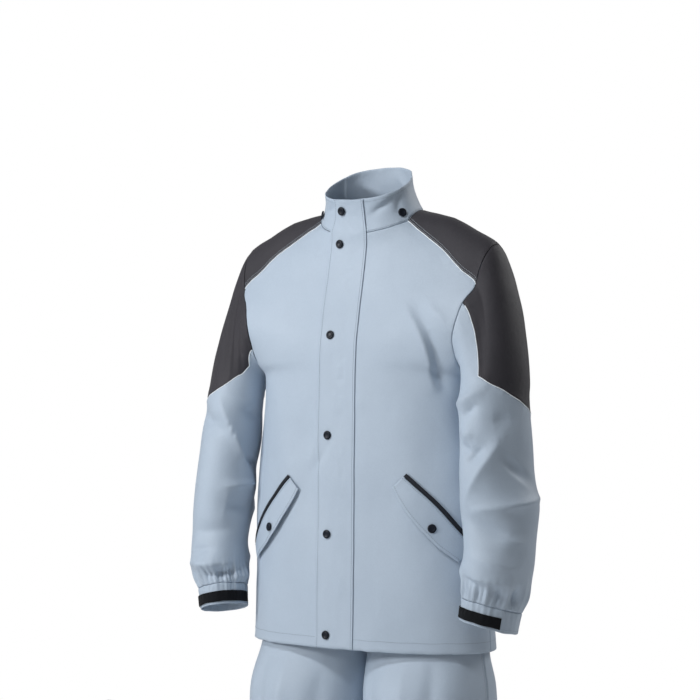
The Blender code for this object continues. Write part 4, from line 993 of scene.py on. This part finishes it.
def makeLegs():
    front = legGrid(leg["frontRows"])
    back = legGrid(leg["backRows"])
    fork = sum(leg["steps"][:4]) * fineRows
    back[fork:, -1] = front[fork:, -1]
    panels = {}
    for side, word in (("l", "left"), ("r", "right")):
        flip = (lambda g: g) if side == "l" else mirrored
        axis = leg["axisX"] if side == "l" else -leg["axisX"]
        inside = lambda q, x=axis: np.stack((x * fadeOver(q[:, 2], *leg["forkFade"]), 0 * q[:, 0], q[:, 2]), axis=-1)
        panels["trouser_front_" + word] = panel("trouser_front_" + word, flip(front), "shell", inside)
        panels["trouser_back_" + word] = panel("trouser_back_" + word, flip(back), "shell", inside)
    top = np.concatenate((front[0], mirrored(front[0])[::-1][1:], mirrored(back[0])[1:], back[0][::-1][1:-1]))
    rises = np.linspace(0.0, leg["bandHeight"], 13)
    band = np.array([top + np.array((0.0, 0.0, rise)) for rise in rises])
    middle = lambda q: np.stack((0 * q[:, 0], 0 * q[:, 0] + body["axisY"], q[:, 2]), axis=-1)
    panels["waistband"] = panel("waistband", band, "shell", middle, wrap=True)
    return panels


def finishPanels(panels):
    group = list(panels.values())
    for p in group:
        setSeamDistance(p)
    setNormals(group)
    relax(group)
    setNormals(group)


def lineFlap(panels):
    # the storm flap, from the fronts' and collar's own points, moved out
    near = 2 * fineColumns
    left, right = (gridOf(panels["front_" + s]) for s in ("left", "right"))
    leftOut, rightOut = (gridOf(panels["front_" + s], "normals") for s in ("left", "right"))
    ring, ringOut = gridOf(panels["collar"]), gridOf(panels["collar"], "normals")
    points = [np.concatenate((right[:, near:0:-1], left[:, :near + 1]), axis=1)]
    normals = [np.concatenate((rightOut[:, near:0:-1], leftOut[:, :near + 1]), axis=1)]
    points.append(np.concatenate((ring[1:, -near - 1:-1], ring[1:, :near + 1]), axis=1))
    normals.append(np.concatenate((ringOut[1:, -near - 1:-1], ringOut[1:, :near + 1]), axis=1))
    points, normals = np.concatenate(points), np.concatenate(normals)
    out = cloth["wall"] / 2 + flap["lieGap"] + flap["wall"] / 2
    heights = points[:, near, 2]
    held = np.array(sorted(flap["snapHeights"] + (heights[-1] - 0.03,)))
    free = np.clip(np.min(abs(heights[:, None] - held[None]), axis=1) / 0.05, 0.0, 1.0)
    toEdge = np.clip(1 - np.arange(2 * near + 1) / near, 0.0, 1.0)
    lifted = out + flap["lifts"] * free[:, None] * toEdge[None]**1.5
    p = panel("storm_flap", points + normals * lifted[..., None], "shell", insideBody,
              wall=flap["wall"], gap=flap["drawnIn"])
    setSeamDistance(p)
    setNormals([p])
    return p


def frontPoint(grid, distance, height):
    spots = []
    step = pocket["normalStep"]
    for d, z in ((distance, height), (distance + step, height), (distance, height + step)):
        row = int(np.argmax(grid[:, 0, 2] > z))
        low, high = (pointsAlong(line, d) for line in grid[row - 1:row + 1])
        spots.append(low + (high - low) * (z - low[2]) / (high[2] - low[2]))
    return spots[0], unit(np.cross(spots[1] - spots[0], spots[2] - spots[0]))


def pocketGrid(front, ends, lowEdge, highEdge, lift, stands, rows):
    top, low = np.array(ends)
    along = unit(low - top)
    square = np.array((along[1], -along[0]))
    grid = []
    for r in range(rows + 1):
        part = r / rows
        line = []
        for k in range(pocket["steps"] + 1):
            run = k / pocket["steps"]
            offset = lowEdge(run) + (highEdge(run) - lowEdge(run)) * part
            bow = pocket["bow"] * math.sin(math.pi * run)
            spot = top + (low - top) * run + square * (offset - bow)
            point, normal = frontPoint(front, spot[0], spot[1])
            free = pocket["endStands"] + (1 - pocket["endStands"]) * math.sin(math.pi * run)
            line.append(point + normal * (lift + stands * part * free))
        grid.append(line)
    return np.array(grid)


def makePockets(panels):
    over = pocket["solidWall"] + pocket["lieGap"]
    depths = np.interp(np.linspace(0, 1, 101), list(pocket["depths"]), list(pocket["depths"].values()))
    for _ in range(30):
        depths[1:-1] = (depths[:-2] + 2 * depths[1:-1] + depths[2:]) / 4
    deep = lambda run: float(np.interp(run, np.linspace(0, 1, 101), depths))
    made = {}
    for side, word in (("l", "left"), ("r", "right")):
        flip = (lambda g: g) if side == "l" else mirrored
        front = flip(gridOf(panels["front_" + word]))
        ends = pocket["ends"][side]
        strip = pocketGrid(front, ends, lambda run: -pocket["stripWidth"], lambda run: 0.0, over, 0.0, 3)
        cover = pocketGrid(front, ends, lambda run: cloth["seamGap"], deep, over, pocket["stands"], pocket["rows"])
        made["pocket_strip_" + word] = panel("pocket_strip_" + word, flip(strip), "binding", insideBody, gap=0.0)
        made["pocket_flap_" + word] = panel("pocket_flap_" + word, flip(cover), "shell", insideBody, gap=0.0)
    for p in made.values():
        setSeamDistance(p)
        setNormals([p])
    return made


def makeStraps(panels):
    made = {}
    for side, word in (("l", "left"), ("r", "right")):
        cuff, normals = gridOf(panels["cuff_" + word]), gridOf(panels["cuff_" + word], "normals")
        count = cuff.shape[1] // fineRows
        held = []
        for c in range(-count // 2, count):
            angle = math.pi + 2 * math.pi * c / count
            if math.radians(strap["from"]) <= angle + twistAt(side, angle) <= math.radians(strap["to"]):
                held.append(c)
        columns = np.arange(held[0] * fineRows, held[-1] * fineRows + 1) % cuff.shape[1]
        out = 0.001 + strap["lieGap"] + strap["wall"] / 2
        parts = np.linspace(strap["top"], strap["low"], 9) * (cuff.shape[0] - 1)
        low = np.floor(parts).astype(int)
        share = (parts - low)[:, None, None]
        points = cuff[low][:, columns] * (1 - share) + cuff[low + 1][:, columns] * share
        facing = normals[low][:, columns]
        middle = cuff.mean(axis=(0, 1))
        p = panel("cuff_strap_" + word, points + facing * out, "webbing", lambda q: middle[None], wall=strap["wall"])
        setSeamDistance(p)
        setNormals([p])
        made["cuff_strap_" + word] = p
    return made


jacket = makeJacket()
finishPanels(jacket)
legs = makeLegs()
finishPanels(legs)
stormFlap = lineFlap(jacket)
trims = {"storm_flap": stormFlap, **makePockets(jacket), **makeStraps(jacket)}
print("panels cut:", len(jacket) + len(legs) + len(trims))

for node, p in {**jacket, **legs, **trims}.items():
    piece = sew(p)
    piece.name = node + "_cloth"
    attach(piece, "root")
    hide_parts(node)

for node in sorted(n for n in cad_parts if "snap" in n):
    makeSnap(node)
print("snaps set")

# Piping and topstitching
piping = {"radius": 0.0009, "sides": 8, "sinks": 0.0001}


def layPiping(name, line, normals):
    # a thin cord along a seam, half sunk between the two edges
    along = unit(np.gradient(line, axis=0))
    across = unit(np.cross(normals, along))
    verts = []
    for centre, side, out in zip(line - normals * piping["sinks"], across, normals):
        for k in range(piping["sides"]):
            angle = 2 * math.pi * k / piping["sides"]
            verts.append(centre + (side * math.cos(angle) + out * math.sin(angle)) * piping["radius"])
    faces = []
    for ring in range(len(line) - 1):
        for k in range(piping["sides"]):
            a, after = ring * piping["sides"] + k, ring * piping["sides"] + (k + 1) % piping["sides"]
            faces.append((a, after, after + piping["sides"], a + piping["sides"]))
    faces.append(tuple(range(piping["sides"]))[::-1])
    faces.append(tuple(len(verts) - piping["sides"] + k for k in range(piping["sides"])))
    made = meshPiece(name, verts, faces, "piping")
    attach(made, "root")


def panelRoute(word):
    # down the front edge of the dark sleeve panel, along its lower edge and up at the back
    side = word[0]
    arm = jacket["sleeve_" + word]
    first, last = (n * fineRows for n in sleeve["panelColumns"][side])
    edge = sleeve["topRows"] * fineRows
    route = [(r, first) for r in range(3, edge)]
    route += [(edge, c) for c in range(first, last)]
    route += [(r, last) for r in range(edge, 2, -1)]
    rows, columns = np.array(route).T
    out = gridOf(arm, "normals")[rows, columns]
    return gridOf(arm)[rows, columns] + out * cloth["wall"] / 2, out


for word in ("left", "right"):
    side = word[0]
    yokePanel = jacket["yoke_" + word]
    layPiping("yoke_piping_" + word, *edgeLine(yokePanel, "first", 0.0))
    layPiping("sleeve_piping_" + word, *panelRoute(word))
    for inset in (0.0032, 0.0072):
        sewLine("topstitch_light", *edgeLine(yokePanel, "first", inset))
        sewLine("topstitch_dark", *edgeLine(yokePanel, "last", inset))
    sewLine("topstitch_shell", *edgeLine(jacket["front_" + word], "top", 0.018))
    cover = trims["pocket_flap_" + word]
    sewLine("topstitch_shell", *edgeLine(cover, "bottom", 0.005))
    sewLine("topstitch_shell", *edgeLine(cover, "top", 0.003))
    cuffPanel = jacket["cuff_" + word]
    for inset in (0.003, 0.006):
        sewLine("topstitch_shell", *edgeLine(cuffPanel, "bottom", inset))
    for part in ("front", "back"):
        trouser = legs["trouser_" + part + "_" + word]
        sewLine("topstitch_shell", *edgeLine(trouser, "bottom", 0.020))
        sewLine("topstitch_shell", *edgeLine(trouser, "first", 0.004))
sewLine("topstitch_shell", *edgeLine(jacket["back"], "top", 0.018))
for edge, inset in (("first", 0.006), ("last", 0.005)):
    sewLine("topstitch_shell", *edgeLine(stormFlap, edge, inset))
sewLine("topstitch_shell", *edgeLine(jacket["collar"], "bottom", 0.006))
sewLine("topstitch_shell", *edgeLine(jacket["collar"], "top", 0.003))
makeSeams("topstitch_light", "thread")
makeSeams("topstitch_shell", "shellThread")
makeSeams("topstitch_dark", "darkThread")

# Floor, light and camera
studio = {
    "floorZ": cadLow.z - 0.002,
    "floorHalf": 3.0,
    "floorColour": (0.86, 0.87, 0.88),
    "azimuth": 33.0,
    "distance": 4.0,
    "lens": 119.7,
    "sensor": 36.0,
    "aim": (-0.0361, -0.2372),  # sideways along the camera's right, and up
    "worldSeen": 1.0,
    "worldLight": 0.19,
    "keyPower": 35.0,
    "fillPower": 2.0,
    "leftPower": 48.0,
    "backPower": 48.0,
}


def makeFloor():
    half, z = studio["floorHalf"], studio["floorZ"]
    mesh = bpy.data.meshes.new("floor")
    mesh.from_pydata([(-half, -half, z), (half, -half, z), (half, half, z), (-half, half, z)], [], [(0, 1, 2, 3)])
    paint = bpy.data.materials.new("floorPaint")
    paint.use_nodes = True
    main = paint.node_tree.nodes["Principled BSDF"]
    main.inputs["Base Color"].default_value = (*studio["floorColour"], 1.0)
    main.inputs["Roughness"].default_value = 0.9
    mesh.materials.append(paint)
    floor = bpy.data.objects.new("floor", mesh)
    bpy.context.scene.collection.objects.link(floor)


def addLight(name, place, size, power, aim=(0.0, 0.0, -0.5)):
    data = bpy.data.lights.new(name, "AREA")
    data.energy = power
    data.shape = "DISK"
    data.size = size
    lamp = bpy.data.objects.new(name, data)
    lamp.location = place
    lamp.rotation_mode = "QUATERNION"
    lamp.rotation_quaternion = (Vector(aim) - Vector(place)).to_track_quat("-Z", "Y")
    bpy.context.scene.collection.objects.link(lamp)


def makeWorld():
    world = bpy.data.worlds.new("studioWhite")
    world.use_nodes = True
    tree = world.node_tree
    ground = tree.nodes["Background"]
    seen = addNode(tree, "ShaderNodeLightPath").outputs["Is Camera Ray"]
    strength = addNode(tree, "ShaderNodeMapRange", {0: seen, 3: studio["worldLight"], 4: studio["worldSeen"]})
    ground.inputs["Color"].default_value = (1.0, 1.0, 1.0, 1.0)
    tree.links.new(strength.outputs[0], ground.inputs["Strength"])
    bpy.context.scene.world = world


def makeCamera():
    azimuth = math.radians(studio["azimuth"])
    back = Vector((math.sin(azimuth), -math.cos(azimuth), 0.0))
    right = Vector((math.cos(azimuth), math.sin(azimuth), 0.0))
    data = bpy.data.cameras.new("camera")
    data.lens = studio["lens"]
    data.sensor_width = studio["sensor"]
    camera = bpy.data.objects.new("camera", data)
    target = right * studio["aim"][0] + Vector((0.0, 0.0, studio["aim"][1]))
    camera.location = target + back * studio["distance"]
    camera.rotation_mode = "QUATERNION"
    camera.rotation_quaternion = (-back).to_track_quat("-Z", "Y")
    bpy.context.scene.collection.objects.link(camera)
    bpy.context.scene.camera = camera


makeFloor()
makeWorld()
addLight("key", (-0.45, -2.1, 1.7), 0.5, studio["keyPower"], (0.0, 0.0, -0.25))
addLight("left", (-1.9, -2.6, 0.5), 0.8, studio["leftPower"], (0.0, 0.0, -0.35))
addLight("fill", (2.3, -2.6, 0.9), 1.2, studio["fillPower"])
addLight("behind", (1.5, 3.0, 1.5), 2.0, studio["backPower"])
makeCamera()
bpy.context.scene.view_settings.view_transform = "Standard"
print("studio ready")
